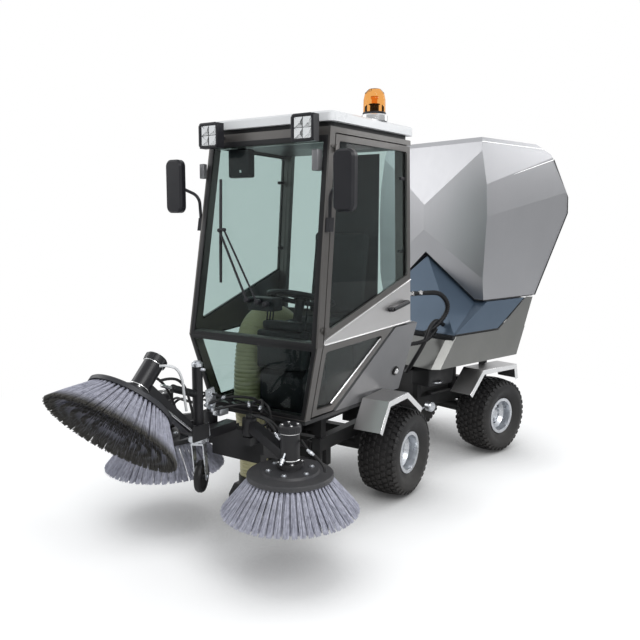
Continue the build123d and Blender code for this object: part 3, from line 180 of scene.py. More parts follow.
# %% World
world = bpy.data.worlds.new("studio")
bpy.context.scene.world = world
world.use_nodes = True
sky = world.node_tree
sky.nodes.clear()
seen = sky.nodes.new("ShaderNodeLightPath").outputs
looking = maths(sky, "MAXIMUM", seen["Is Camera Ray"], seen["Is Transmission Ray"])
direct = maths(sky, "MULTIPLY", looking, maths(sky, "LESS_THAN", seen["Diffuse Depth"], 0.5))
toward = put(sky, "SeparateXYZ", Vector=put(sky, "TexCoord").outputs["Generated"])
lift = ranged(sky, toward.outputs["Z"], -0.05, 0.42, 0.28, 1.0, "SMOOTHSTEP")
soft = put(sky, "Background", Color=(0.96, 0.98, 1.0, 1), Strength=0.66)
mirror = put(sky, "Background", Color=(0.97, 0.985, 1.0, 1), Strength=lift)
white = put(sky, "Background", Color=(1, 1, 1, 1), Strength=1.0)
shiny = either_light(sky, seen["Is Glossy Ray"], soft, mirror)
clean = either_light(sky, direct, shiny, white)
put(sky, "OutputWorld", Surface=clean.outputs[0])
bpy.context.scene.view_settings.view_transform = "Standard"

bpy.ops.mesh.primitive_plane_add(size=60, location=(0, 0, 0))
floor = bpy.context.object
floor.name = "floor"
bpy.ops.object.select_all(action="DESELECT")

# %% [markdown]
# ## Finishes
# Every finish is a small recipe: a Principled shader, fed by patterns that change
# over the surface. Patterns that several finishes share are built once, as node
# groups with named inputs, and placed in each material with their own values.

# %% Helper: a shared pattern
def shared_pattern(name, inputs, *outputs):
    """An empty node group with named sockets: a tuple is a colour, a number a value."""
    tree = bpy.data.node_groups.new(name, "ShaderNodeTree")
    tree.interface.new_socket("Vector", in_out="INPUT", socket_type="NodeSocketVector")
    for label, value in inputs.items():
        kind = "NodeSocketColor" if isinstance(value, tuple) else "NodeSocketFloat"
        tree.interface.new_socket(label, in_out="INPUT", socket_type=kind).default_value = value
    for label in outputs:
        kind = "NodeSocketColor" if label == "Colour" else "NodeSocketFloat"
        tree.interface.new_socket(label, in_out="OUTPUT", socket_type=kind)
    return tree, tree.nodes.new("NodeGroupInput").outputs, tree.nodes.new("NodeGroupOutput")


# %% [markdown]
# Paint and plastic are never one flat value. "Uneven" mixes two near colours in
# soft clouds and puts out the same clouds as a mask for the roughness.

# %% Pattern: uneven colour
uneven, ins, outs = shared_pattern(
    "Uneven",
    {
        "Colour": (0.5, 0.5, 0.5, 1), "Second colour": (0.4, 0.4, 0.4, 1), "Scale": 6.0,
        "Rough low": 0.3, "Rough high": 0.5,
    },
    "Colour", "Roughness",
)
clouds = put(uneven, "TexNoise", Vector=ins["Vector"], Scale=ins["Scale"], Detail=5).outputs["Fac"]
wire(uneven, outs, {
    "Colour": blended(uneven, clouds, ins["Colour"], ins["Second colour"]),
    "Roughness": ranged(uneven, clouds, start=ins["Rough low"], end=ins["Rough high"]),
})

# %% [markdown]
# Road dust settles low on the machine. "Dust" fades from a dusty colour at the
# ground to none at a given height, broken up by noise so no line shows.

# %% Pattern: dust near the ground
dust, ins, outs = shared_pattern(
    "Dust",
    {
        "Colour": (0.5, 0.5, 0.5, 1), "Dust colour": (0.36, 0.33, 0.29, 1),
        "Height": 0.5, "Amount": 0.3,
    },
    "Colour", "Mask",
)
level = put(dust, "SeparateXYZ", Vector=ins["Vector"])
specks = put(dust, "TexNoise", Vector=ins["Vector"], Scale=14, Detail=8)
fade = ranged(dust, level.outputs["Z"], high=ins["Height"], start=1, end=0)
broken = maths(dust, "MULTIPLY", fade, specks.outputs["Fac"])
share = maths(dust, "MULTIPLY", broken, ins["Amount"])
share.node.use_clamp = True
wire(dust, outs, {
    "Colour": blended(dust, share, ins["Colour"], ins["Dust colour"]),
    "Mask": share,
})

# %% [markdown]
# Brushed steel is a field of fine scratches along one direction. Stretched noise
# looks just like them. The material's own Mapping node does the stretching, because
# every panel is brushed its own way.

# %% Pattern: brushed scratches
brushed, ins, outs = shared_pattern(
    "Brushed", {"Scale": 30.0, "Rough low": 0.25, "Rough high": 0.45}, "Height", "Roughness"
)
strokes = put(
    brushed, "TexNoise", Vector=ins["Vector"], Scale=ins["Scale"], Detail=4, Roughness=0.7
).outputs["Fac"]
wire(brushed, outs, {
    "Height": strokes,
    "Roughness": ranged(brushed, strokes, 0.3, 0.7, ins["Rough low"], ins["Rough high"]),
})

# %% [markdown]
# Moulded plastic, rubber and sprayed paint all have a tiny grain. "Grain" is that
# bump's height: fine noise for orange peel and for the pebbled skin of plastic.

# %% Pattern: fine grain
grain, ins, outs = shared_pattern("Grain", {"Scale": 300.0}, "Height")
pebbles = put(grain, "TexNoise", Vector=ins["Vector"], Scale=ins["Scale"], Detail=2)
wire(grain, outs, {"Height": pebbles.outputs["Fac"]})
print("shared patterns:", [g.name for g in bpy.data.node_groups])


# %% [markdown]
# A helper lays out the part that every finish shares. It puts down the Principled
# shader with its plain values, the object's own coordinates, a Mapping node for
# the direction of a pattern, and a Bump node with the wanted strength. Another
# helper closes the recipe: it wires what the patterns put out, and shelves the
# finish under its name.

# %% Helpers: start a finish, place a pattern, close the recipe
finishes = {}


def start_finish(name, metal=0.0, rough=0.5, stretch=(1, 1, 1), bump=0.1, depth=0.001, **plain):
    finish = bpy.data.materials.new(name)
    finish.use_nodes = True
    tree = finish.node_tree
    values = {label.replace("_", " "): value for label, value in plain.items()}
    shader = wire(tree, tree.nodes["Principled BSDF"], {"Metallic": metal, "Roughness": rough, **values})
    spots = put(tree, "TexCoord").outputs["Object"]
    turn = put(tree, "Mapping", Vector=spots, Scale=stretch)
    relief = put(tree, "Bump", Strength=bump, Distance=depth)
    wire(tree, shader, {"Normal": relief.outputs["Normal"]})
    return finish, tree, spots, turn


def lay(tree, pattern, vector, **values):
    """Places a shared pattern in a material, with its own values."""
    step = put(tree, "Group")
    step.node_tree = pattern
    feeds = {label.replace("_", " "): value for label, value in values.items()}
    return wire(tree, step, {"Vector": vector, **feeds})


def toned(tree, vector, colour, second, scale, low=0.3, high=0.5):
    """Uneven colour: its clouds go from one colour to the other, and from smooth to rough."""
    return lay(
        tree, uneven, vector, Colour=(*colour, 1), Second_colour=(*second, 1), Scale=scale,
        Rough_low=low, Rough_high=high,
    ).outputs


def shelve(name, finish, colour, rough, height):
    """Wires the colour, the roughness and the bump's height, and keeps the finish."""
    tree = finish.node_tree
    wire(tree, tree.nodes["Principled BSDF"], {"Base Color": colour, "Roughness": rough})
    wire(tree, tree.nodes["Bump"], {"Height": height})
    finishes[name] = finish


# %% [markdown]
# ### Paint and plastic
# One recipe serves all the painted and moulded parts: uneven colour, a fine grain
# for the bump, and dust low down. Only the numbers differ. Gunmetal paint has
# metal flakes, so it is part metallic. The black deck is plain satin paint.

# %% Recipe: painted or moulded
def painted(
    name, colour, second, rough,
    metal=0.0, clouds=5.0, peel=260.0, dusty=0.25, high=0.9, bump=0.08, **plain
):
    finish, tree, spots, turn = start_finish(name, metal, rough, bump=bump, **plain)
    tone = toned(tree, spots, colour, second, clouds, rough - 0.07, rough + 0.09)
    low = lay(tree, dust, spots, Colour=tone["Colour"], Height=high, Amount=dusty)
    skin = lay(tree, grain, spots, Scale=peel)
    shelve(name, finish, low.outputs["Colour"], tone["Roughness"], skin.outputs["Height"])


painted("chassis", (0.011, 0.012, 0.014), (0.022, 0.023, 0.025), 0.42, dusty=0.12, Specular_IOR_Level=0.25)
painted(
    "cab_paint", (0.125, 0.118, 0.112), (0.095, 0.090, 0.086), 0.33, metal=0.55, dusty=0.05, peel=900,
    Coat_Weight=0.2,
)
painted("panel_grey", (0.20, 0.20, 0.205), (0.16, 0.162, 0.17), 0.34, metal=0.5, dusty=0.12)
painted("roof_white", (0.72, 0.73, 0.74), (0.67, 0.68, 0.69), 0.28, dusty=0.0, Coat_Weight=0.2)
painted(
    "black_plastic", (0.010, 0.010, 0.013), (0.018, 0.018, 0.021), 0.38, peel=700, bump=0.02, dusty=0.02,
    Specular_IOR_Level=0.28,
)
painted(
    "deck_black", (0.009, 0.009, 0.011), (0.020, 0.020, 0.022), 0.34, dusty=0.08, high=0.8,
    Specular_IOR_Level=0.3,
)
painted(
    "disc_plastic", (0.022, 0.023, 0.027), (0.045, 0.046, 0.052), 0.42, peel=500, bump=0.15, dusty=0.2,
    Specular_IOR_Level=0.3,
)
painted(
    "cover_blue", (0.088, 0.128, 0.180), (0.070, 0.104, 0.150), 0.34, metal=0.45, dusty=0.06,
    Coat_Weight=0.15,
)
painted("skirt_grey", (0.225, 0.225, 0.215), (0.175, 0.178, 0.17), 0.30, metal=0.7, dusty=0.15)
painted("engine_iron", (0.045, 0.047, 0.050), (0.075, 0.075, 0.078), 0.55, metal=0.4, peel=180, bump=0.35)
painted("hose_olive", (0.60, 0.57, 0.33), (0.50, 0.47, 0.27), 0.36, peel=120, dusty=0.1)

# %% [markdown]
# ### Rubber
# Tyres are dull black with a dusty bloom that is strongest on the tread. Seals and
# hoses are the same black, but smoother.

# %% Rubber
painted(
    "tyre_rubber", (0.010, 0.010, 0.011), (0.020, 0.019, 0.019), 0.5, clouds=18, peel=420, bump=0.2,
    dusty=0.14, high=0.4, Specular_IOR_Level=0.35,
)
painted(
    "black_rubber", (0.007, 0.007, 0.008), (0.013, 0.013, 0.014), 0.42, clouds=20, peel=500, dusty=0.04,
    Specular_IOR_Level=0.3,
)


# %% [markdown]
# ### Bare metal
# Stainless sheet is brushed along its length, zinc is dull and spangled, and the
# plated fittings are nearly mirrors. The brushing is the same shared pattern with
# its coordinates stretched along another axis.

# %% Recipe: brushed steel
def steel(
    name, colour, second, rough, stretch,
    scale=26.0, bump=0.06, dusty=0.1, swing=0.08, **plain
):
    finish, tree, spots, turn = start_finish(name, 1.0, rough, stretch, bump=bump, depth=0.0006, **plain)
    tone = toned(tree, spots, colour, second, 3.0)
    low = lay(tree, dust, spots, Colour=tone["Colour"], Height=0.7, Amount=dusty)
    lines = lay(
        tree, brushed, turn.outputs["Vector"], Scale=scale, Rough_low=rough - swing, Rough_high=rough + swing
    ).outputs
    shelve(name, finish, low.outputs["Colour"], lines["Roughness"], lines["Height"])


steel(
    "bright_steel", (0.68, 0.665, 0.66), (0.61, 0.60, 0.595), 0.37, (1, 9, 9), 9.0, 0.0,
    dusty=0.0, swing=0.03,
)
steel(
    "brushed_hopper", (0.48, 0.48, 0.495), (0.42, 0.42, 0.435), 0.40, (9, 9, 0.35), 14, 0.002,
    dusty=0.0, swing=0.035,
)
steel("beacon_foot", (0.80, 0.80, 0.80), (0.72, 0.72, 0.72), 0.16, (20, 20, 1), dusty=0)

# %% [markdown]
# Zinc dip leaves crystals on the metal. A Voronoi texture's cells, each with its
# own grey, are just that.

# %% Zinc
finish, tree, spots, turn = start_finish("zinc", 0.9, 0.38, bump=0.03)
crystals = put(tree, "TexVoronoi", Vector=spots, Scale=55).outputs
greys = blended(tree, crystals["Color"], (0.68, 0.70, 0.73, 1), (0.55, 0.57, 0.60, 1))
low = lay(tree, dust, spots, Colour=greys, Height=0.55, Amount=0.1)
sheen = ranged(tree, crystals["Color"], start=0.24, end=0.36)
shelve("zinc", finish, low.outputs["Colour"], sheen, crystals["Distance"])

# %% [markdown]
# ### Glass and lenses
# The cab is glazed with lightly tinted panes. A thin pane hardly bends light, so
# its refractive index is set low and its tint does the work. Lenses of lamps are
# moulded: their flutes come from a Wave texture that drives the bump.


# %% Glass
def pane(name, colour, stretch, flutes, bump, rough, index, clear=1.0):
    finish, tree, spots, turn = start_finish(
        name, 0.0, rough, stretch, bump=bump, depth=0.004,
        Transmission_Weight=1.0, IOR=index, Alpha=clear,
    )
    tone = toned(tree, spots, colour, [0.96 * c for c in colour], 1.2, rough, rough + 0.02)
    wave = put(tree, "TexWave", Vector=turn.outputs["Vector"], Scale=flutes)
    shelve(name, finish, tone["Colour"], tone["Roughness"], wave.outputs["Fac"])


pane("tinted_glass", (0.63, 0.72, 0.705), (1, 1, 1), 0.5, 0.0, 0.01, 1.22)
pane("lamp_lens", (0.90, 0.93, 0.95), (0, 1, 1), 24, 0.2, 0.03, 1.12)
pane("amber_lens", (0.86, 0.40, 0.11), (0, 0, 1), 30, 0.15, 0.04, 1.12)
pane("red_lens", (0.75, 0.02, 0.015), (0, 1, 1), 26, 0.5, 0.08, 1.35, 0.97)

# %% [markdown]
# ### Cloth and bristle
# The seat is woven cloth. Two fine waves at right angles make the weave, and a
# little sheen gives it a soft edge.

# %% Seat cloth
finish, tree, spots, turn = start_finish(
    "seat_cover", 0.0, 0.88, bump=0.012, depth=0.0003, Sheen_Weight=0.05
)
tone = toned(tree, spots, (0.014, 0.015, 0.017), (0.024, 0.025, 0.028), 9, 0.8, 0.95)
warp = put(tree, "TexWave", Vector=spots, Scale=70)
warp.bands_direction = "X"
weft = put(tree, "TexWave", Vector=spots, Scale=70)
weft.bands_direction = "Y"
crossed = maths(tree, "ADD", warp.outputs["Fac"], weft.outputs["Fac"])
shelve("seat_cover", finish, tone["Colour"], tone["Roughness"], crossed)

# %% [markdown]
# Bristles are pale grey plastic, speckled with darker ones. The raised front brush is
# darker towards its tips, near black. The mask measures the distance below that
# brush's own disc: a Mapping node turns the coordinates on to the brush's axis, and a
# second range keeps the darkening off the two side brushes.

# %% Bristle
RAISED_AT, RAISED_LEAN = (1560, -30, 808), -44
finish, tree, spots, turn = start_finish("bristle", 0.0, 0.48, bump=0.1)
turn.vector_type = "TEXTURE"
wire(tree, turn, {"Location": front(*RAISED_AT), "Rotation": (0, math.radians(RAISED_LEAN), 0)})
tone = toned(tree, spots, (0.62, 0.63, 0.72), (0.15, 0.15, 0.20), 60, 0.4, 0.6)
inside = put(tree, "SeparateXYZ", Vector=turn.outputs["Vector"])
above = put(tree, "SeparateXYZ", Vector=spots)
tips = ranged(tree, inside.outputs["Z"], -0.125, -0.160)
raised = ranged(tree, above.outputs["Z"], 0.36, 0.44)
darker_tips = maths(tree, "MULTIPLY", tips, raised)
# The raised brush's tips are darkened to near black.
tip_darkened_colour = blended(tree, darker_tips, tone["Colour"], (0.045, 0.042, 0.036, 1))
skin = lay(tree, grain, spots, Scale=300)
shelve("bristle", finish, tip_darkened_colour, tone["Roughness"], skin.outputs["Height"])

# %% [markdown]
# The floor is plain and pale. Near the machine it is a lit surface, lifted a little
# for the camera, so the shadow shows and the rest is white. Close under a wheel or
# a brush, ambient occlusion dims it, which grounds the machine. Further out it
# turns, for the camera alone, into plain white light, and floor and background are
# one.

# %% Floor finish, and every solid's finish
ground, tree, spots, turn = start_finish("ground", 0.0, 0.9, bump=0.0)
shader = tree.nodes["Principled BSDF"]
tone = toned(tree, spots, (0.93, 0.93, 0.93), (0.90, 0.90, 0.90), 0.8, 0.85, 0.95)
shade = put(tree, "AmbientOcclusion", Distance=0.55)
shade.samples = 8
close = ranged(tree, shade.outputs["AO"], low=0.1, start=0.12)
dimmed = tree.nodes.new("ShaderNodeVectorMath")
dimmed.operation = "SCALE"
wire(tree, dimmed, {0: tone["Colour"], "Scale": close})
wire(tree, shader, {"Base Color": dimmed.outputs[0]})
length = tree.nodes.new("ShaderNodeVectorMath")
length.operation = "LENGTH"
wire(tree, length, {0: spots})
far = ranged(tree, length.outputs["Value"], 1.0, 3.6, curve="SMOOTHSTEP")
seen = tree.nodes.new("ShaderNodeLightPath").outputs
looking = maths(tree, "MAXIMUM", seen["Is Camera Ray"], seen["Is Transmission Ray"])
glow = put(tree, "Emission", Color=(1, 1, 1, 1), Strength=1.0)
lifted = maths(tree, "MULTIPLY", ranged(tree, looking, end=0.27), close)
haze = put(tree, "Emission", Color=(1, 1, 1, 1), Strength=lifted)
near = tree.nodes.new("ShaderNodeAddShader")
wire(tree, near, {0: shader.outputs[0], 1: haze.outputs[0]})
laid = either_light(tree, maths(tree, "MULTIPLY", far, looking), near, glow)
wire(tree, tree.nodes["Material Output"], {"Surface": laid.outputs[0]})
floor.data.materials.append(ground)

for part in frame["record"]["subparts"]:
    solid = nodes[part["node"]]
    for holder in solid.material_slots:
        holder.material = finishes[part["material_slot"]]
print(len(finishes), "finishes on", len(nodes), "solids")

# %% [markdown]
# ## Modelling by hand
# The small parts are built the way one would build them with the mouse: add a
# primitive at its size and place, shape it in edit mode, then apply the modifiers.
# A few helpers keep that short. Everything is deselected before each step, because
# an operator works on whatever is selected.

# %% Helpers for modelling
@contextmanager
def edit_mode(piece):
    """Edit mode on one piece. Its mesh is at hand, for choosing parts of it by a rule."""
    bpy.ops.object.mode_set(mode="EDIT")
    yield bmesh.from_edit_mesh(piece.data)
    bpy.ops.object.mode_set(mode="OBJECT")


def pick(piece):
    """Selects one piece alone and makes it active."""
    bpy.ops.object.select_all(action="DESELECT")
    piece.select_set(True)
    bpy.context.view_layer.objects.active = piece
    return piece


def settle(piece):
    """Puts the piece's place into its mesh, so the object itself sits at the origin."""
    pick(piece)
    bpy.ops.object.transform_apply(location=True, rotation=True, scale=True)
    return piece


def apply_all(piece):
    pick(piece)
    for step in list(piece.modifiers):
        bpy.ops.object.modifier_apply(modifier=step.name)
    return piece


def merge(piece):
    """Merges doubled points and turns every face outwards."""
    with edit_mode(pick(piece)):
        bpy.ops.mesh.select_all(action="SELECT")
        bpy.ops.mesh.remove_doubles(threshold=1e-5)
        bpy.ops.mesh.normals_make_consistent(inside=False)
    return piece


def walled(piece, thick, offset=0):
    """Gives a sheet its thickness."""
    wall = piece.modifiers.new("wall", "SOLIDIFY")
    wall.thickness = thick
    wall.offset = offset
    return apply_all(piece)


def drawn(name, points, edges, faces):
    """A piece drawn point by point."""
    mesh = bpy.data.meshes.new(name)
    mesh.from_pydata(points, edges, faces)
    piece = bpy.data.objects.new(name, mesh)
    bpy.context.scene.collection.objects.link(piece)
    return pick(piece)


SHARP = math.radians(35)


def soften(piece, width, segments=2):
    """Rounds the sharp edges, as a real edge is never a razor."""
    edge = piece.modifiers.new("edge", "BEVEL")
    edge.width = width
    edge.segments = segments
    edge.limit_method = "ANGLE"
    edge.angle_limit = SHARP
    apply_all(piece)
    bpy.ops.object.shade_smooth_by_angle(angle=SHARP)
    return piece


def twin(piece, move):
    """A copy with a mesh of its own, moved by a matrix."""
    other = piece.copy()
    other.data = piece.data.copy()
    other.data.transform(move)
    bpy.context.scene.collection.objects.link(other)
    return other


def join(pieces, name):
    bpy.ops.object.select_all(action="DESELECT")
    for piece in pieces:
        piece.select_set(True)
    bpy.context.view_layer.objects.active = pieces[0]
    if len(pieces) > 1:
        bpy.ops.object.join()
    pieces[0].name = name
    return pieces[0]


def hand_over(piece, name, body, slot, *replaced):
    """Names a finished piece, or joins a list into one, paints it, and seats it on its body."""
    if isinstance(piece, list):
        piece = join(piece, name)
    settle(piece)
    piece.name = name
    piece.data.materials.clear()
    piece.data.materials.append(finishes[slot])
    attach(piece, body)
    if replaced:
        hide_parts(*replaced)
    bpy.ops.object.select_all(action="DESELECT")
    print(name, len(piece.data.polygons), "faces")
    return piece


# %% [markdown]
# Round bars, cans and rings all start as a cylinder between two points. The helper
# adds it, and can give it steps: each step insets or shifts the far end, the way
# one would inset and extrude a cap by hand.

# %% Helper: a turned bar between two points
def turned(a, b, radius, steps=(), sides=24, bevel=0.0015):
    """A bar from a to b. Each step is (new radius, how far the end moves on)."""
    a, b = Vector(a), Vector(b)
    along = (b - a).normalized()
    bpy.ops.mesh.primitive_cylinder_add(
        vertices=sides, radius=radius, depth=(b - a).length, location=(a + b) / 2,
        rotation=along.to_track_quat("Z", "Y").to_euler(),
    )
    piece = bpy.context.object
    settle(piece)
    now = radius
    for wide, on in steps:
        with edit_mode(piece) as mesh:
            far = max(face.calc_center_median().dot(along) for face in mesh.faces)
            for face in mesh.faces:
                at_end = face.calc_center_median().dot(along) > far - 1e-5
                face.select = at_end and abs(face.normal.dot(along)) > 0.9
            mesh.select_flush(True)
            bmesh.update_edit_mesh(piece.data)
            bpy.ops.mesh.extrude_region_move(TRANSFORM_OT_translate={"value": (0, 0, 0)})
            middle = a + along * far - along * a.dot(along)
            bpy.ops.transform.resize(value=(wide / now,) * 3, center_override=middle)
            bpy.ops.mesh.extrude_region_move(TRANSFORM_OT_translate={"value": along * on})
        now = wide
    merge(piece)
    return soften(piece, bevel, 1) if bevel else piece


# %% [markdown]
# Flat things are a cube cut down to a plate, with its edges rounded. The helper
# takes the low and high corners, and a board to lay the plate on.

# %% Helpers: a plate, a smooth line, a bent tube and a bolt
def plate(low, high, bevel=0.002, board=front_board, segments=2):
    low, high = Vector(low) / 1000, Vector(high) / 1000
    bpy.ops.mesh.primitive_cube_add(size=1, location=(0, 0, 0))
    piece = bpy.context.object
    piece.scale = high - low
    piece.location = (low + high) / 2
    settle(piece)
    if bevel:
        soften(piece, bevel, segments)
    piece.data.transform(board)
    return piece


def smooth_line(name, points, steps=8):
    """A NURBS line that starts and ends on its outer points."""
    line = bpy.data.curves.new(name, "CURVE")
    line.dimensions = "3D"
    line.resolution_u = steps
    spline = line.splines.new("NURBS")
    spline.points.add(len(points) - 1)
    for point, place in zip(spline.points, points):
        point.co = (*place, 1)
    spline.order_u = 3
    spline.use_endpoint_u = True
    guide = bpy.data.objects.new(name, line)
    bpy.context.scene.collection.objects.link(guide)
    return guide


def bent_tube(name, points, radius, sides=4):
    """A smooth tube through a few points: a line with a round bevel."""
    tube = smooth_line(name, points)
    tube.data.bevel_depth = radius
    tube.data.bevel_resolution = sides
    tube.data.use_fill_caps = True
    pick(tube)
    bpy.ops.object.convert(target="MESH")
    tube = bpy.context.object
    bpy.ops.object.shade_smooth_by_angle(angle=math.radians(40))
    return tube


def hex_bolt(place, out, size=0.009, high=None):
    """A hexagon head on its washer, standing out of a surface."""
    place, out = Vector(place), Vector(out).normalized()
    high = high or size * 0.75
    head = turned(place, place + out * high, size, sides=6, bevel=size * 0.12)
    ring = turned(place - out * 0.0005, place + out * size * 0.22, size * 1.45, sides=16, bevel=0)
    return join([head, ring], "bolt")


# %% [markdown]
# ### Tyres
# Turf tyres have rows of small square blocks that leave the grass whole. A carcass
# is turned from half a section, and one slice of tread, six blocks wide, is laid
# on it, every other block shifted by half a block. The slice is then copied round
# the wheel. The blocks reach exactly as far as the plain tyre did, so it still stands
# on the ground.

# %% One tyre, drawn about the Y axis
WHEEL = 0.247
TREAD_HALF, CROWN_FALL, BLOCK_HIGH = 0.1005, 0.0130, 0.0095
BLOCKS = 38


def crown(y, drop=0.0):
    """Height of the tread's round crown over the axle at a distance from the middle."""
    return WHEEL - CROWN_FALL * (y / TREAD_HALF) ** 2 - drop


def carcass():
    """The tyre's body: a section spun round the axle."""
    section = [
        (-0.0868, 0.1032), (-0.0872, 0.1190), (-0.0925, 0.1225), (-0.1040, 0.1420),
        (-0.1195, 0.1700), (-0.1215, 0.1850), (-0.1180, 0.2060), (-0.1085, 0.2200),
    ]
    section += [(y, crown(y, BLOCK_HIGH)) for y in (-0.098, -0.07, -0.035, 0.0)]
    section += [(-y, r) for y, r in reversed(section[:-1])]
    links = [(i, i + 1) for i in range(len(section) - 1)]
    body = drawn("tyre_body", [(0, y, r) for y, r in section], links, [])
    with edit_mode(body):
        bpy.ops.mesh.select_all(action="SELECT")
        bpy.ops.mesh.spin(steps=72, angle=math.tau, center=(0, 0, 0), axis=(0, 1, 0))
    merge(body)
    bpy.ops.object.shade_smooth_by_angle(angle=math.radians(40))
    return body


def rubber_block(*size):
    bpy.ops.mesh.primitive_cube_add(size=1, location=(0, 0, 0))
    block = bpy.context.object
    block.scale = size
    return settle(block)


def tread_block(y, width, length, turn):
    """One rubber block, standing on the crown at a distance from the middle."""
    block = rubber_block(length, width, 0.018)
    with edit_mode(block) as mesh:
        for face in mesh.faces:
            face.select = face.normal.z > 0.9
        bmesh.update_edit_mesh(block.data)
        bpy.ops.transform.resize(value=(0.84, 0.86, 1), center_override=(0, 0, 0))
    lean = math.atan(2 * CROWN_FALL * y / TREAD_HALF**2)
    block.data.transform(
        Matrix.Rotation(turn, 4, "Y")
        @ Matrix.Translation((0, y, crown(y) - BLOCK_HIGH))
        @ Matrix.Rotation(-lean, 4, "X")
    )
    return block


def lug(y, turn):
    """A shoulder lug that runs from the tread down the sidewall."""
    side = 1 if y > 0 else -1
    block = rubber_block(0.020, 0.026, 0.016)
    block.data.transform(
        Matrix.Rotation(turn, 4, "Y")
        @ Matrix.Translation((0, y, 0.2215))
        @ Matrix.Rotation(-side * math.radians(58), 4, "X")
    )
    return block


body = carcass()
pitch = math.tau / BLOCKS
rows = (-0.084, -0.0505, -0.017, 0.017, 0.0505, 0.084)
slice_parts = [tread_block(y, 0.027, 0.029, pitch / 2 * (row % 2)) for row, y in enumerate(rows)]
slice_parts += [lug(-0.1045, pitch / 2), lug(0.1045, 0)]
tread_slice = soften(join(slice_parts, "tread_slice"), 0.0018, 1)
slices = [twin(tread_slice, Matrix.Rotation(pitch * step, 4, "Y")) for step in range(1, BLOCKS)]
tyre = join([body, tread_slice] + slices, "tyre")
print("tyre radius", round(max(math.hypot(v.co.x, v.co.z) for v in tyre.data.vertices), 4))

# %% Four tyres in place
REAR_AXLE, HALF_TRACK = -0.692, 0.360
wheel_places = {
    f"{end}_{hand}": (side, board @ Matrix.Translation((back, side * HALF_TRACK, WHEEL)))
    for end, board, back in (("front", front_board, 0.0), ("rear", rear_board, REAR_AXLE))
    for hand, side in (("left", 1), ("right", -1))
}
for wheel, (side, place) in wheel_places.items():
    copy = twin(tyre, place @ Matrix.Rotation(0.04 * side, 4, "Y"))
    hand_over(copy, f"{wheel}_tread", f"{wheel}_wheel", "tyre_rubber", f"{wheel}_tyre")
bpy.data.objects.remove(tyre)

# %% [markdown]
# ### Wheel bolts, valve and hub cap
# The disc of each rim is held by five bolts round a turned hub cap, and a rubber
# valve leans out between two of them. One set is modelled on the drawing board and
# copied to all four wheels.

# %% Wheel fittings
DISC, BOLT_CIRCLE = 0.0148, 0.065


def wheel_fittings():
    """Five bolts with their studs and a domed hub cap, drawn about the Y axis."""
    parts = [turned((0, 0.0352, 0), (0, 0.0400, 0), 0.033, [(0.029, 0.003), (0.018, 0.003)])]
    for count in range(5):
        angle = math.radians(18 + 72 * count)
        spot = Vector((BOLT_CIRCLE * math.cos(angle), DISC, BOLT_CIRCLE * math.sin(angle)))
        parts.append(hex_bolt(spot, (0, 1, 0), 0.0105, high=0.012))
        parts.append(turned(spot, spot + Vector((0, 0.019, 0)), 0.005, sides=12))
    return join(parts, "fittings")


def valve():
    """The rubber valve, leaning out through the rim's well."""
    angle = math.radians(54)
    foot = Vector((0.078 * math.cos(angle), 0.030, 0.078 * math.sin(angle)))
    return turned(foot, foot + Vector((-0.008, 0.030, -0.010)), 0.0055, [(0.004, 0.010)], sides=12)


for name, make, slot in (("bolts", wheel_fittings, "zinc"), ("valve", valve, "black_rubber")):
    pattern = make()
    for wheel, (side, place) in wheel_places.items():
        copy = twin(pattern, place @ Matrix.Rotation(0 if side > 0 else math.pi, 4, "Z"))
        hand_over(copy, f"{wheel}_{name}", f"{wheel}_wheel", slot)
    bpy.data.objects.remove(pattern)

# %% [markdown]
# ### Brushes
# A scrubbing brush is a disc with tufts stapled into its rim. Each tuft is a tight
# bundle at the root and fans out to the tip. One bristle is modelled: a thin
# four-sided bar with a slight bow. Bristles make a tuft, and tufts make a ring.
# Four kinds of tuft are mixed, so the ring doesn't look stamped, and each ring lies
# half a step round from the one outside it, so no gap shows through the skirt.

# %% One bristle, one tuft
import random

BRISTLE = 0.19


def bristle():
    bpy.ops.mesh.primitive_cylinder_add(
        vertices=4, radius=0.00145, depth=BRISTLE, location=(0, 0, BRISTLE / 2)
    )
    hair = bpy.context.object
    settle(hair)
    with edit_mode(hair) as mesh:
        sides = [edge for edge in mesh.edges if abs(edge.verts[0].co.z - edge.verts[1].co.z) > 0.01]
        bmesh.ops.subdivide_edges(mesh, edges=sides, cuts=2, use_grid_fill=True)
        for vert in mesh.verts:
            vert.select = 0.01 < vert.co.z < BRISTLE - 0.01
        mesh.select_flush(True)
        bmesh.update_edit_mesh(hair.data)
        bpy.ops.transform.translate(value=(0.0025, 0, 0))
    return hair


def stand(root, tip, spin):
    """The matrix that lays the bristle from its root to its tip."""
    run = Vector(tip) - Vector(root)
    turn = run.to_track_quat("Z", "Y").to_matrix().to_4x4()
    stretch = Matrix.Diagonal((1, 1, run.length / BRISTLE, 1))
    return Matrix.Translation(root) @ turn @ Matrix.Rotation(spin, 4, "Z") @ stretch


def tuft(hair, root, tip, spread, count, dice):
    """A fan of bristles in the XZ plane of the brush, from the disc out to the tips."""
    parts = []
    for step in range(count):
        across = (step + 0.5) / count * 2 - 1
        depth = dice.uniform(-1, 1)
        start = (root[0] + 0.004 * depth, 0.0048 * across * dice.uniform(0.5, 1), root[1])
        end = (
            tip[0] - 0.010 * abs(depth) + dice.uniform(-0.004, 0.002),
            spread * across + dice.uniform(-0.002, 0.002),
            tip[1] + dice.uniform(0.0005, 0.007),
        )
        parts.append(twin(hair, stand(start, end, dice.uniform(0, math.tau))))
    return join(parts, "tuft")


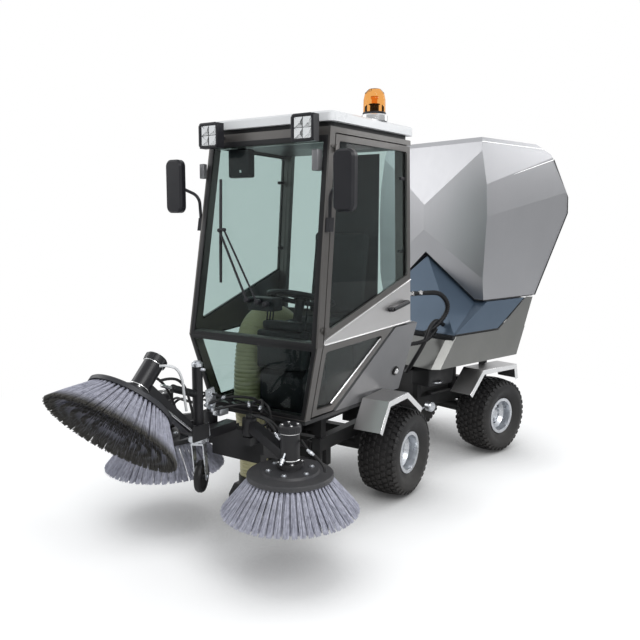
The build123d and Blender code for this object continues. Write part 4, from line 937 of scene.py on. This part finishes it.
def brush_ring(name, place, reach, seed, filled=False):
    """Rings of tufts: each one's root, tips, number of tufts, spread and bristles in a tuft."""
    dice = random.Random(seed)
    hair = bristle()
    rings = ((0.1745, reach - 0.003, 56, 0.0112, 28), (0.160, reach - 0.026, 56, 0.0125, 18))
    if filled:
        rings += ((0.140, reach - 0.072, 40, 0.0190, 12), (0.116, reach - 0.118, 32, 0.0190, 11))
        rings += ((0.090, reach - 0.165, 24, 0.0180, 10), (0.062, reach - 0.212, 15, 0.0170, 9))
    else:
        rings += ((0.146, reach - 0.055, 48, 0.0155, 11),)
    tufts = []
    for layer, (root, tip, number, spread, count) in enumerate(rings):
        kinds = [tuft(hair, (root, 0.1490), (tip, 0.0), spread, count, dice) for _ in range(4)]
        for step in range(number):
            kind = kinds[dice.randrange(4)]
            turn = math.tau * (step + 0.5 * (layer % 2) + 0.10 * dice.uniform(-1, 1)) / number
            tufts.append(twin(kind, Matrix.Rotation(turn, 4, "Z")))
        for kind in kinds:
            bpy.data.objects.remove(kind)
    bpy.data.objects.remove(hair)
    skirt = join(tufts, name)
    skirt.data.transform(place)
    return skirt


# %% Three brushes in place
brush_places = {
    "left": front_board @ Matrix.Translation((1.1058, 0.4273, 0.290)),
    "right": front_board @ Matrix.Translation((0.9887, -0.4448, 0.290)),
    "front": front_board
    @ Matrix.Translation((1.560, -0.030, 0.808))
    @ Matrix.Rotation(math.radians(RAISED_LEAN), 4, "Y")
    @ Matrix.Translation((0, 0, -0.172)),
}
for seed, (name, place) in enumerate(brush_places.items()):
    reach = 0.295 if name == "front" else 0.303
    skirt = brush_ring(f"{name}_tufts", place, reach, 11 + seed, name == "front")
    hand_over(skirt, f"{name}_tufts", f"{name}_brush", "bristle", f"{name}_brush_bristles")

# %% [markdown]
# The disc is bolted to the motor's flange, and the motor is a black can with a
# ribbed cap, two bright clamping rings and small bolts. All three motors are the
# same, so the dressing is drawn once on the brush's own axis and copied.


# %% Disc bolts, motor rings and ribs
def disc_bolts():
    parts = []
    for count in range(6):
        angle = math.radians(20 + 60 * count)
        parts.append(hex_bolt((0.096 * math.cos(angle), 0.096 * math.sin(angle), 0.1846), (0, 0, 1), 0.009))
    return join(parts, "disc_bolts")


def motor_rings():
    parts = [turned((0, 0, 0.226), (0, 0, 0.231), 0.0440, sides=36)]
    parts.append(turned((0, 0, 0.342), (0, 0, 0.347), 0.0450, sides=36))
    for count in range(4):
        angle = math.radians(45 + 90 * count)
        spot = (0.034 * math.cos(angle), 0.034 * math.sin(angle), 0.3795)
        parts.append(hex_bolt(spot, (0, 0, 1), 0.006))
        spot = (0.050 * math.cos(angle), 0.050 * math.sin(angle), 0.2162)
        parts.append(hex_bolt(spot, (0, 0, 1), 0.006))
    return join(parts, "motor_rings")


def motor_ribs():
    parts = []
    for count in range(12):
        angle = math.tau * count / 12
        rib = plate((40, -3, 350), (49.5, 3, 374), 0.0012, Matrix.Rotation(angle, 4, "Z"), 1)
        parts.append(rib)
    return join(parts, "motor_ribs")


carriers = {"left": "left_arm", "right": "right_arm", "front": "front_boom"}
for make, slot, label in (
    (disc_bolts, "zinc", "disc_bolts"),
    (motor_rings, "beacon_foot", "motor_rings"),
    (motor_ribs, "deck_black", "motor_ribs"),
):
    pattern = make()
    for name, place in brush_places.items():
        body = f"{name}_brush" if label == "disc_bolts" else carriers[name]
        hand_over(twin(pattern, place), f"{name}_{label}", body, slot)
    bpy.data.objects.remove(pattern)

# %% [markdown]
# ### The suction hose
# Swept dirt goes up through a ribbed hose inside the cab. A rib is one ring with
# its middle loop scaled out. An Array modifier repeats the ring along the hose, and
# a Curve modifier bends the row along the hose's path. Both are then applied.


# %% Ribbed hose
RIB = 0.020


def ribbed_hose():
    route = [
        front(580, -192, 128), front(580, -192, 350), front(640, -172, 520), front(648, -172, 760),
        front(580, -187, 1000), front(350, -197, 1010), front(178, -197, 868), front(-2, -197, 868),
    ]
    guide = smooth_line("hose_path", route, steps=12)
    bpy.ops.mesh.primitive_cylinder_add(
        vertices=40, radius=0.0715, depth=RIB, end_fill_type="NOTHING", location=(0, 0, RIB / 2)
    )
    rib = bpy.context.object
    settle(rib)
    with edit_mode(rib) as mesh:
        sides = [edge for edge in mesh.edges if abs(edge.verts[0].co.z - edge.verts[1].co.z) > 0.005]
        bmesh.ops.subdivide_edges(mesh, edges=sides, cuts=3)
        for vert in mesh.verts:
            vert.select = 0.004 < vert.co.z < 0.016
        mesh.select_flush(True)
        bmesh.update_edit_mesh(rib.data)
        bpy.ops.transform.resize(value=(1.078, 1.078, 0.8), center_override=(0, 0, RIB / 2))
    row = rib.modifiers.new("row", "ARRAY")
    row.fit_type = "FIT_CURVE"
    row.curve = guide
    row.use_relative_offset = False
    row.use_constant_offset = True
    row.constant_offset_displace = (0, 0, RIB)
    row.use_merge_vertices = True
    row.merge_threshold = 0.0006
    bend = rib.modifiers.new("bend", "CURVE")
    bend.object = guide
    bend.deform_axis = "POS_Z"
    apply_all(rib)
    bpy.ops.object.shade_smooth_by_angle(angle=math.radians(50))
    bpy.data.objects.remove(guide)
    return walled(rib, 0.003, -1)


hand_over(ribbed_hose(), "ribbed_hose", "front", "hose_olive", "suction_hose")

# %% Hose clamps at the neck and at the floor
def cuff(spot, along, radius, width, thick):
    """An open band round a hose: a cylinder without its ends, given a wall."""
    bpy.ops.mesh.primitive_cylinder_add(
        vertices=48, radius=radius, depth=width, end_fill_type="NOTHING", location=front(*spot),
        rotation=Vector(along).to_track_quat("Z", "Y").to_euler(),
    )
    band = bpy.context.object
    settle(band)
    return soften(walled(band, thick, -1), 0.0006, 1)


for low, spot in (("neck", (580, -192, 150)), ("floor", (645, -172, 600))):
    screw = hex_bolt(front(spot[0] + 82, spot[1], spot[2]), (0, 1, 0), 0.007)
    band = cuff(spot, (0, 0, 1), 0.0800, 0.018, 0.0025)
    hand_over([band, screw], f"hose_clamp_{low}", "front", "bright_steel")
grommet = cuff((22, -197, 868), (1, 0, 0), 0.0900, 0.026, 0.0120)
hand_over(grommet, "hose_grommet", "front", "black_rubber")

# %% [markdown]
# ## The cab's trim
# Rubber seals run round every pane. A seal is a single face the size of the pane,
# grown a little, inset with its middle deleted, and given a thickness.

# %% Helper: a flat rim round a pane
def rim(corners, grow, width, thick, out):
    """Corners on the front board; grow widens the outline about its middle; out faces outside."""
    spots = [front(*c) for c in corners]
    middle = sum(spots, Vector()) / len(spots)
    lift = Vector(out).normalized() * 0.0012
    outline = [middle + (s - middle) * grow + lift for s in spots]
    piece = drawn("rim", outline, [], [tuple(range(len(spots)))])
    with edit_mode(piece):
        bpy.ops.mesh.select_all(action="SELECT")
        bpy.ops.mesh.inset(thickness=width, depth=0)
        bpy.ops.mesh.delete(type="FACE")
    return soften(walled(piece, thick), thick * 0.3, 2)


def mirrored(corners):
    return [(x, -y, z) for x, y, z in corners]


# %% Seals of the windscreen, the lower front pane, the rear window and the doors
ahead = (0.989, 0, 0.150)
door_out = (0.14, 0.982, 0.119)
low_out = (0.14, 0.968, -0.21)
windscreen = [(703, 342, 1898), (703, -342, 1898), (844, -371, 964), (844, 371, 964)]
low_front = [(801, 280, 597), (801, -280, 597), (846, -375, 948), (846, 375, 948)]
rear_window = [(-18, 351, 1922), (-18, -351, 1922), (9, -388, 1001), (9, 388, 1001)]
upper_pane = [
    (12, 400, 1885), (26, 398, 1899), (622, 357, 1899), (636, 357, 1887),
    (763, 384, 1036), (745, 386, 1021), (41, 426, 1235), (31, 426, 1247),
]
lower_pane = [
    (272, 408, 933), (282, 414, 955), (761, 382, 936), (773, 377, 922), (723, 296, 623), (589, 305, 626),
]
seals = [
    ("windscreen_seal", windscreen, ahead, "front", 1.035, 0.024),
    ("low_front_seal", low_front, (0.992, 0, -0.127), "front", 1.03, 0.018),
    ("rear_window_seal", rear_window, (-1, 0, 0.02), "front", 1.02, 0.016),
    ("left_door_seal", upper_pane, door_out, "left_door", 1.028, 0.018),
    ("left_low_door_seal", lower_pane, low_out, "left_door", 1.03, 0.013),
]
for name, corners, out, body, grow, wide in seals:
    hand_over(rim(corners, grow, wide, 0.003, out), name, body, "black_rubber")
for name, corners, out, body, grow, wide in seals[3:]:
    other = rim(mirrored(corners), grow, wide, 0.003, (out[0], -out[1], out[2]))
    hand_over(other, name.replace("left", "right"), body.replace("left", "right"), "black_rubber")

# %% [markdown]
# Polished strips frame the door: one under the upper pane, one down its front edge,
# and one along each long edge of the steel band.


# %% Polished strips and the door handles
def strip(a, b, out):
    shift = Vector(out).normalized() * 0.0035
    return turned(front(*a) + shift, front(*b) + shift, 0.0028, sides=8, bevel=0)


def door_strips(side):
    out = (door_out[0], side * door_out[1], door_out[2])
    runs = [
        ((38, 424, 1232), (747, 383, 1018)), ((639, 355, 1893), (767, 382, 1032)),
        ((12, 441, 1217), (792, 396, 981)), ((18, 450, 992), (799, 397, 961)),
    ]
    return [strip((a[0], side * a[1], a[2]), (b[0], side * b[1], b[2]), out) for a, b in runs]


def door_handle(side):
    """A black grip over the bar, as thick as a thumb, on two feet."""
    out = Vector((door_out[0], side * door_out[1], door_out[2])).normalized()
    ends = [front(232, side * 459, 1076), front(82, side * 468, 1101)]
    grip = bent_tube("grip", [ends[0], ends[0].lerp(ends[1], 0.5) + out * 0.003, ends[1]], 0.0112)
    feet = [turned(end - out * 0.026, end - out * 0.002, 0.0125, sides=16) for end in ends]
    return [grip] + feet


for name, side in (("left", 1), ("right", -1)):
    hand_over(door_strips(side), f"{name}_door_strips", f"{name}_door", "beacon_foot")
    # A bright rod along the lower pane's slanted edge: a painted highlight of the glass edge.
    edge = turned(front(284, side * 411, 926), front(596, side * 307, 634), 0.0065, sides=12, bevel=0)
    hand_over(edge, f"{name}_low_pane_highlight", f"{name}_door", "beacon_foot")
    hand_over(door_handle(side), f"{name}_door_grip", f"{name}_door", "black_plastic")

# %% [markdown]
# Inside, a black headliner keeps the cab dark, and a black sheet behind the driver is
# painted shade: it stands in for the shade that the panes show, so they read as
# glass. The dashboard stands between the steering column and the windscreen, and a
# small display hangs in the upper corner.

# %% Headliner, painted shade sheet, dashboard, display and levers
trim_and_shade_sheet = [
    plate((10, -328, 1904), (672, 328, 1914), 0.003),
    # A black sheet behind the driver: painted shade, standing in for the shade that the panes show.
    plate((26, -70, 1000), (32, 250, 1890), 0.003),
    plate((600, -78, 790), (700, 196, 985), 0.018, segments=3),
    plate((640, -252, 1740), (692, -118, 1880), 0.010, segments=3),
    plate((655, -200, 1880), (680, -160, 1906), 0.003),
    plate((610, -60, 985), (672, 176, 1030), 0.014, segments=3),
]
hand_over(trim_and_shade_sheet, "cab_trim_and_shade_sheet", "front", "black_plastic")
levers = []
for y, height in ((-52, 120), (-34, 105), (-16, 118), (186, 96)):
    foot = front(640, y, 1026)
    knob = foot + Vector((-0.022, 0, height / 1000))
    head = knob + Vector((-0.004, 0, 0.018))
    levers.append(turned(foot, knob, 0.004, sides=10, bevel=0))
    levers.append(turned(knob, head, 0.009, [(0.011, 0.010), (0.006, 0.006)], sides=14))
hand_over(levers, "cab_levers", "front", "black_plastic")
dials = [turned(front(612, y, 1008), front(606, y, 1010), 0.022, sides=28) for y in (20, 72, 124)]
dials.append(plate((692, -176, 1764), (694, -164, 1776), 0.0005))
hand_over(dials, "dash_dials", "front", "beacon_foot")

# %% [markdown]
# The doors' latches are dark stubs on the rear posts, in line with their edges.

# %% Latches on the rear posts
latches = []
for side in (1, -1):
    for z in (1752, 1370):
        latches.append(plate((20, side * 398 - 9, z - 9), (74, side * 398 + 9, z + 9), 0.005))
hand_over(latches, "post_latches", "front", "black_plastic")

# %% [markdown]
# ### The wiper
# A pantograph wiper has two arms that keep the blade upright. The blade is a thin
# rubber lip under a spine, and both arms end on turned spindles at the foot of the
# windscreen.


# %% Wiper
def on_screen(y, z, out=0.0):
    """A point on the windscreen's plane, lifted off it by a distance in millimetres."""
    base = Vector((847 - 0.1517 * (z - 952), y, z)) + Vector(ahead) * out
    return front(*base)


spine = [on_screen(-256, 1728, 16), on_screen(-228, 1478, 22), on_screen(-199, 1221, 16)]
wiper = [
    bent_tube("spine", spine, 0.0058),
    turned(on_screen(-256, 1728, 9), on_screen(-199, 1221, 9), 0.0035, sides=8, bevel=0),
    turned(on_screen(-226, 1475, 28), on_screen(-20, 1146, 24), 0.0062, sides=10),
    turned(on_screen(-196, 1478, 28), on_screen(42, 1140, 24), 0.0052, sides=10),
    turned(on_screen(-236, 1473, 27), on_screen(-190, 1480, 27), 0.0075, sides=10),
]
for y, z in ((-20, 1146), (42, 1140), (92, 1132)):
    wiper.append(turned(on_screen(y, z, 2), on_screen(y, z, 30), 0.013, [(0.009, 0.004)], sides=20))
for y, z in ((-226, 1475), (-196, 1478)):
    wiper.append(turned(on_screen(y, z, 20), on_screen(y, z, 36), 0.009, sides=16))
wiper.append(plate((728, -46, 1096), (806, 116, 1160), 0.010, segments=3))
hand_over(wiper, "wiper", "front", "black_plastic")

# %% [markdown]
# ### Lamps
# A square work lamp has a black bezel with round corners and, behind its clear
# cover, four bright bowls. Each bowl is an open four-sided cone, pushed back into
# the lens. The beacon's dome holds a bulb on its drive, and dark ribs.

# %% Work lamps' bezels and reflectors
BEZEL = ((-62, 48), (-48, 62), (48, 62), (62, 48), (62, -48), (48, -62), (-48, -62), (-62, -48))


def bowl(place):
    """A four-sided cone without its base, opening forwards."""
    bpy.ops.mesh.primitive_cone_add(
        vertices=4, radius1=0.0325, radius2=0.004, depth=0.0095, end_fill_type="TRIFAN", location=(0, 0, 0)
    )
    cone = bpy.context.object
    with edit_mode(cone) as mesh:
        base = [face for face in mesh.faces if face.normal.z < -0.9]
        bmesh.ops.delete(mesh, geom=base, context="FACES")
        bmesh.update_edit_mesh(cone.data)
    cone.data.transform(
        Matrix.Translation(place)
        @ Matrix.Rotation(math.radians(-90), 4, "Y")
        @ Matrix.Rotation(math.radians(45), 4, "Z")
    )
    return cone


bezels, bowls = [], []
for y in (280, -280):
    outline = [(802, y + a, 1940 + b) for a, b in BEZEL]
    bezels.append(rim(outline, 1.0, 0.013, 0.009, (1, 0, 0)))
    bowls += [bowl(front(795.0, y + a, 1940 + b)) for a in (-24, 24) for b in (-24, 24)]
hand_over(bezels, "lamp_bezels", "front", "black_plastic")
hand_over(bowls, "lamp_bowls", "front", "beacon_foot")

# %% Marker boxes on the posts, and the side lamps
boxes = [
    plate((716, 300, 1752), (760, 334, 1848), 0.005, segments=3),
    plate((722, -392, 1738), (752, -364, 1812), 0.005, segments=3),
]
hand_over(boxes, "marker_boxes", "front", "panel_grey")
rings, domes = [], []
for side in (1, -1):
    spot, out = front(35, side * 370, 710), Vector((0.054, side * 0.961, -0.270))
    rings.append(turned(spot - out * 0.002, spot + out * 0.009, 0.026, [(0.022, 0.002)]))
    domes.append(turned(spot, spot + out * 0.013, 0.017, [(0.013, 0.004), (0.006, 0.002)]))
hand_over(rings, "side_lamp_rings", "front", "black_rubber")
hand_over(domes, "side_lamp_lenses", "front", "beacon_foot")

# %% Beacon: bulb, drive and ribs
foot = front(270, 350, 2060)
up = Vector((0, 0, 1))
swell = [(0.017, 0.012), (0.014, 0.014), (0.006, 0.006)]
bulb = turned(foot + up * 0.050, foot + up * 0.072, 0.013, swell, sides=20)
hand_over(bulb, "beacon_bulb", "front", "amber_lens")
inner = [turned(foot, foot + up * 0.044, 0.020, [(0.026, 0.004)], sides=20)]
for step in range(6):
    angle = math.tau * (step + 0.5) / 6
    spot = foot + Vector((0.043 * math.cos(angle), 0.043 * math.sin(angle), 0.0))
    inner.append(turned(spot, spot + up * 0.040, 0.003, sides=8, bevel=0))
hand_over(inner, "beacon_drive", "front", "black_plastic")
ring = turned(front(270, 350, 2057), front(270, 350, 2064), 0.0590, [(0.0570, 0.003)], sides=48)
hand_over(ring, "beacon_ring", "front", "black_plastic")

# %% [markdown]
# ### Seat cushions
# A cushion is a bag under pressure. The solid's mesh is copied and drawn in a
# little, remeshed to even squares, and blown up with the Cloth modifier, with no
# gravity. No point may move further than a pad's own softness allows, and a last
# smoothing takes the small steps of the remesh away.


# %% Filled cushions
DRAWN_IN, GRID, SOFTNESS, FRAMES = 0.004, 0.006, 0.012, 20


def filled(node, name):
    bag = node.copy()
    bag.data = node.data.copy()
    bpy.context.scene.collection.objects.link(bag)
    pick(bag)
    for vert in bag.data.vertices:
        vert.co -= vert.normal * DRAWN_IN
    grid = bag.modifiers.new("grid", "REMESH")
    grid.mode = "VOXEL"
    grid.voxel_size = GRID
    apply_all(bag)
    before = [vert.co.copy() for vert in bag.data.vertices]
    cloth = bag.modifiers.new("cloth", "CLOTH")
    cloth.settings.use_pressure = True
    cloth.settings.uniform_pressure_force = 4
    cloth.settings.effector_weights.gravity = 0
    for count in range(1, FRAMES + 1):
        bpy.context.scene.frame_set(count)
    apply_all(bag)
    bpy.context.scene.frame_set(1)
    for vert, place in zip(bag.data.vertices, before):
        step = vert.co - place
        if step.length > SOFTNESS:
            vert.co = place + step * (SOFTNESS / step.length)
    calm = bag.modifiers.new("calm", "SMOOTH")
    calm.factor = 0.5
    calm.iterations = 10
    apply_all(bag)
    pick(bag)
    bpy.ops.object.shade_smooth()
    bag.name = name
    return bag


cushions = filled(nodes["seat_cushions"], "seat_pads")
hand_over(cushions, "seat_pads", "front", "seat_cover", "seat_cushions")

# %% [markdown]
# ### Engine cover and hopper seams
# Thin black gaskets close the joints between the hopper, the cover below it and
# the rear door. Bright rods along two folds of the sheet are painted highlights.

# %% Gaskets, and painted highlights on the folds
def seam(points, radius):
    runs = [turned(rear(*a), rear(*b), radius, sides=8, bevel=0) for a, b in zip(points, points[1:])]
    return join(runs, "seam")


seams = (
    ("hopper_gaskets", "hopper", "black_rubber", 0.0035, [
        [(-415, 0, 1330), (-464, 372, 1036), (-464, 439, 1035), (-1026, 436, 1035)],
    ]),
    ("hopper_door_gaskets", "hopper_door", "black_rubber", 0.004, [
        [(-1201, 450, 1953), (-1390, 459, 1705), (-1401, 456, 1595), (-1058, 436, 1036)],
    ]),
    ("cover_gaskets", "rear", "black_rubber", 0.0035, [
        [(-178, 450, 842), (-619, 450, 842), (-912, 449, 1025)],
    ]),
    # Bright rods on two folds: painted highlights, where the sheet catches the light.
    ("hopper_folds", "hopper", "beacon_foot", 0.0025, [
        [(-446, 448, 1761), (-1195, 450, 1952)],
        [(-446, 407, 2022), (-1133, 408, 2022)],
    ]),
)
for name, body, slot, radius, routes in seams:
    both = [seam(route, radius) for line in routes for route in (line, mirrored(line))]
    hand_over(both, name, body, slot)

# %% [markdown]
# ## Hoses, rods and fittings
# Hydraulic lines run on the deck, along both brush arms and over the pivot. Every
# line rides on the piece it is clipped to, so it moves with it. A fitting is a
# short hexagon with a collar at each side.

# %% Helpers: a fitting and a plain hose
def fitting(place, along, size=0.009):
    place, along = Vector(place), Vector(along).normalized()
    nut = turned(place - along * 0.008, place + along * 0.008, size, sides=6, bevel=0.0008)
    collar = turned(place - along * 0.020, place + along * 0.020, size * 0.72, sides=16)
    return join([nut, collar], "fitting")


def hose(points, radius=0.0065):
    return bent_tube("hose", [front(*p) for p in points], radius, sides=3)


def sheet_part(corners):
    """A flat plate, 5 mm thick, cut to an outline on the front board."""
    piece = drawn("sheet_part", [front(*c) for c in corners], [], [tuple(range(len(corners)))])
    return soften(walled(piece, 0.005), 0.001, 1)


# %% Lines on the deck
loop = [(905, 110 + 62 * math.sin(a), 624 + 62 * math.cos(a)) for a in [math.tau * k / 10 for k in range(11)]]
deck_lines = [
    hose([(1165, -5, 700), (1080, 30, 726), (980, 66, 715), (905, 96, 690), (872, 104, 640)]),
    hose([(1165, -52, 690), (1090, -90, 724), (990, -110, 704), (900, -96, 668), (868, -92, 620)]),
    hose([(1150, 12, 675), (1060, 76, 694), (985, 112, 684), (930, 140, 660), (880, 160, 600)]),
    hose(loop + [(905, 128, 690), (950, 150, 640)], 0.006),
    hose([(1168, -16, 760), (1120, 20, 752), (1050, 40, 700), (960, 20, 690), (880, 26, 640)], 0.005),
    hose([(1000, -130, 655), (960, -190, 670), (930, -240, 640)], 0.0055),
]
hand_over(deck_lines, "deck_lines", "deck", "black_rubber")
nuts = []
for spot, along in (
    ((1150, -2, 705), (1, 0.3, -0.2)), ((1150, -58, 696), (1, -0.3, -0.2)), ((1140, 22, 680), (1, 0.6, 0)),
    ((1075, 32, 726), (1, 0.3, 0)), ((985, -110, 704), (1, 0, 0.2)), ((990, 109, 686), (1, 0.8, -0.4)),
    ((940, 136, 664), (1, 0.5, -0.2)),
):
    nuts.append(fitting(front(*spot), along))
nuts.append(plate((1040, -16, 640), (1100, 30, 672), 0.003))
nuts.append(sheet_part([(1166, 2, 772), (1108, 2, 778), (1092, 2, 706), (1118, 2, 664), (1158, 2, 690)]))
nuts.append(sheet_part([(1212, 6, 610), (1150, 6, 622), (1142, 6, 560), (1178, 6, 536), (1216, 6, 560)]))
for spot in ((1132, 5, 748), (1122, 5, 692), (1168, 9, 596), (1192, 9, 562)):
    nuts.append(hex_bolt(front(*spot), (0, 1, 0), 0.010))
nuts.append(turned(front(1180, -30, 538), front(1180, -30, 594), 0.0470, [(0.034, 0.012)], sides=40))
cap_steps = [(0.017, 0.008), (0.010, 0.012)]
nuts.append(turned(front(1180, -30, 880), front(1180, -30, 896), 0.0255, cap_steps, sides=28))
nuts.append(fitting(front(1180, -4, 868), (0, 1, 0.1)))
hand_over(nuts, "deck_fittings", "deck", "zinc")

# %% [markdown]
# The front boom is raised by a small cylinder between the mast and the boom. It
# stays with the deck, and its rod ends just short of the boom's eye.

# %% Lift cylinder of the front boom
barrel = [
    turned(front(1204, -30, 760), front(1326, -30, 806), 0.017, [(0.0185, 0.010)], sides=28),
    turned(front(1204, -30, 760), front(1196, -30, 757), 0.012, sides=16),
]
hand_over(barrel, "boom_cylinder", "deck", "deck_black")
rod = turned(front(1326, -30, 806), front(1402, -30, 835), 0.0075, sides=20)
hand_over(rod, "boom_cylinder_rod", "deck", "beacon_foot")

# %% Lines, rods and spray pipes on the boom and the arms
white_pipe = [
    (1444, 12, 930), (1434, 46, 936), (1386, 56, 914), (1348, 46, 852), (1324, 26, 784), (1290, 6, 706),
]
hand_over(hose(white_pipe, 0.0058), "spray_pipe_front", "front_boom", "roof_white")
boom_lines = [
    hose([(1452, 22, 872), (1400, 40, 880), (1330, 34, 836), (1290, 26, 760), (1262, 22, 664)], 0.006),
    hose([(1446, -82, 868), (1392, -98, 872), (1330, -88, 826), (1290, -76, 744), (1264, -66, 656)], 0.006),
]
hand_over(boom_lines, "boom_lines", "front_boom", "black_rubber")
rods = [
    turned(front(1462, 8, 780), front(1262, 6, 612), 0.0055, sides=12),
    turned(front(1462, -66, 780), front(1262, -64, 612), 0.0055, sides=12),
]
hand_over(rods, "boom_rods", "front_boom", "beacon_foot")


def dress_arm(name, side, centre, root):
    """Two lines, a tie rod, fittings and a spray pipe, all riding on one brush arm."""

    def by_motor(x, out, z):
        """A place near the arm's motor; out is counted away from the machine's middle."""
        return centre[0] + x, centre[1] + side * out, z

    def by_root(x, out, z):
        return root[0] + x, root[1] + side * out, z

    lines = [
        [by_motor(-14, -46, 604), by_motor(-22, -92, 652), by_root(34, 84, 654), by_root(4, 14, 650)],
        [by_motor(16, -46, 604), by_motor(14, -88, 664), by_root(60, 80, 664), by_root(26, 8, 652)],
    ]
    hand_over([hose(line, 0.006) for line in lines], f"{name}_arm_lines", f"{name}_arm", "black_rubber")
    metal = [
        fitting(front(*by_motor(-16, -54, 612)), (0, -side, 1)),
        fitting(front(*by_motor(16, -54, 613)), (0, -side, 1)),
        turned(front(*by_motor(-30, 2, 646)), front(*by_motor(61, 2, 522)), 0.0042, sides=12),
        turned(front(*by_motor(52, 2, 533)), front(*by_motor(66, 2, 514)), 0.009, [(0.006, 0.008)], sides=14),
        fitting(front(*by_motor(4, 108, 566)), (0, side, -0.5)),
    ]
    hand_over(metal, f"{name}_arm_fittings", f"{name}_arm", "zinc")
    spray = [
        by_motor(-20, 44, 600), by_motor(0, 84, 578), by_motor(0, 150, 540),
        by_motor(4, 182, 512), by_motor(6, 180, 496),
    ]
    hand_over(hose(spray, 0.0062), f"{name}_spray_pipe", f"{name}_arm", "black_rubber")


dress_arm("left", 1, (1106, 427), (1010, 160))
dress_arm("right", -1, (989, -445), (990, -160))

# %% [markdown]
# ### Over the pivot
# A spiral guard protects the two big hoses over the pivot. It is drawn as a row of
# short bands along the hose. A tank with a filler cap and a grab handle hangs under
# the left skirt.


# %% Guarded hoses
PITCH = 0.011


def guarded(points, radius):
    """A hose with bands along it, one at every pitch."""
    line = [rear(*p) for p in points]
    tube = bent_tube("guide", line, radius * 0.86, sides=3)
    rings = []
    for a, b in zip(line, line[1:]):
        count = max(int((b - a).length / PITCH), 1)
        rings += [(a.lerp(b, k / count), (b - a).normalized()) for k in range(count)]
    half = PITCH * 0.3
    bands = [turned(at - run * half, at + run * half, radius, sides=12, bevel=0) for at, run in rings]
    return join([tube] + bands, "guarded")


def rounded(points):
    """Points along a chain of curves that round off every corner, eight to a corner."""
    steps = 8
    out = [Vector(points[0])]
    for before, corner, after in zip(points, points[1:], points[2:]):
        a = Vector(before).lerp(Vector(corner), 0.5 if before != points[0] else 0.0)
        c = Vector(corner).lerp(Vector(after), 0.5 if after != points[-1] else 1.0)
        b = Vector(corner)
        out += [a.lerp(b, t / steps).lerp(b.lerp(c, t / steps), t / steps) for t in range(1, steps + 1)]
    return out


upper_loop = [
    (60, 300, 1100), (-20, 352, 1106), (-130, 372, 1100),
    (-228, 366, 1000), (-140, 330, 880), (-70, 300, 850),
]
lower_loop = [(150, 300, 800), (60, 345, 800), (-60, 350, 820), (-140, 330, 870)]
loops = [guarded(rounded(upper_loop), 0.0150), guarded(rounded(lower_loop), 0.0130)]
hand_over(loops, "pivot_hoses", "rear", "black_rubber")
ends = [fitting(rear(52, 304, 1100), (1, -0.4, 0), 0.016), fitting(rear(10, 330, 1104), (1, -0.5, 0), 0.016)]
hand_over(ends, "pivot_fittings", "rear", "beacon_foot")

# %% Tank under the skirt
tank = plate((-362, 150, 494), (-120, 300, 613), 0.012, rear_board, 3)
hand_over(tank, "side_tank", "rear", "chassis")
handle = ((-236, 300), (-230, 322), (-168, 322), (-162, 300))
grip = bent_tube("grip", [rear(x, y, 522) for x, y in handle], 0.005)
cap = turned(rear(-156, 262, 366), rear(-156, 300, 366), 0.031, [(0.026, 0.006)], sides=32)
hand_over([grip, cap], "tank_fittings", "rear", "zinc")

# %% [markdown]
# A mudguard's outer edge is folded down. A band of polished metal along the fold is
# a painted highlight, where the fold catches the light. The band follows the guard's
# outline. At each corner its inner edge lies where the two offset lines meet, so it
# stays equally deep all round.


# %% Folded edges of the mudguards, with a painted highlight
GUARD_SIDE, FOLD_DEEP = 501.0, 30.0


def folded_edge(profile, side, board):
    line = [Vector(point) for point in profile]
    runs = [(after - before).normalized() for before, after in zip(line, line[1:])]
    inner = []
    for point, before, after in zip(line, runs[:1] + runs, runs + runs[-1:]):
        inward = Vector((-before.y - after.y, before.x + after.x)).normalized()
        inner.append(point + inward * FOLD_DEEP / inward.dot(Vector((-before.y, before.x))))
    corners = [board(x, side * GUARD_SIDE, z) for x, z in line + inner]
    count = len(line)
    faces = [(k, k + 1, count + k + 1, count + k) for k in range(count - 1)]
    return soften(walled(drawn("edge", corners, [], faces), 0.0018), 0.0005, 1)


guards = {
    "front": (front, ((439, 473), (347, 617), (129, 623), (-50, 502))),
    "rear": (rear, ((-278, 462), (-407, 601), (-774, 595), (-795, 497))),
}
# Bright bands on the folds of both guards: painted highlights.
for name, (board, profile) in guards.items():
    edges = [folded_edge(profile, side, board) for side in (1, -1)]
    hand_over(edges, f"{name}_mudguard_edge_highlights", name, "beacon_foot")
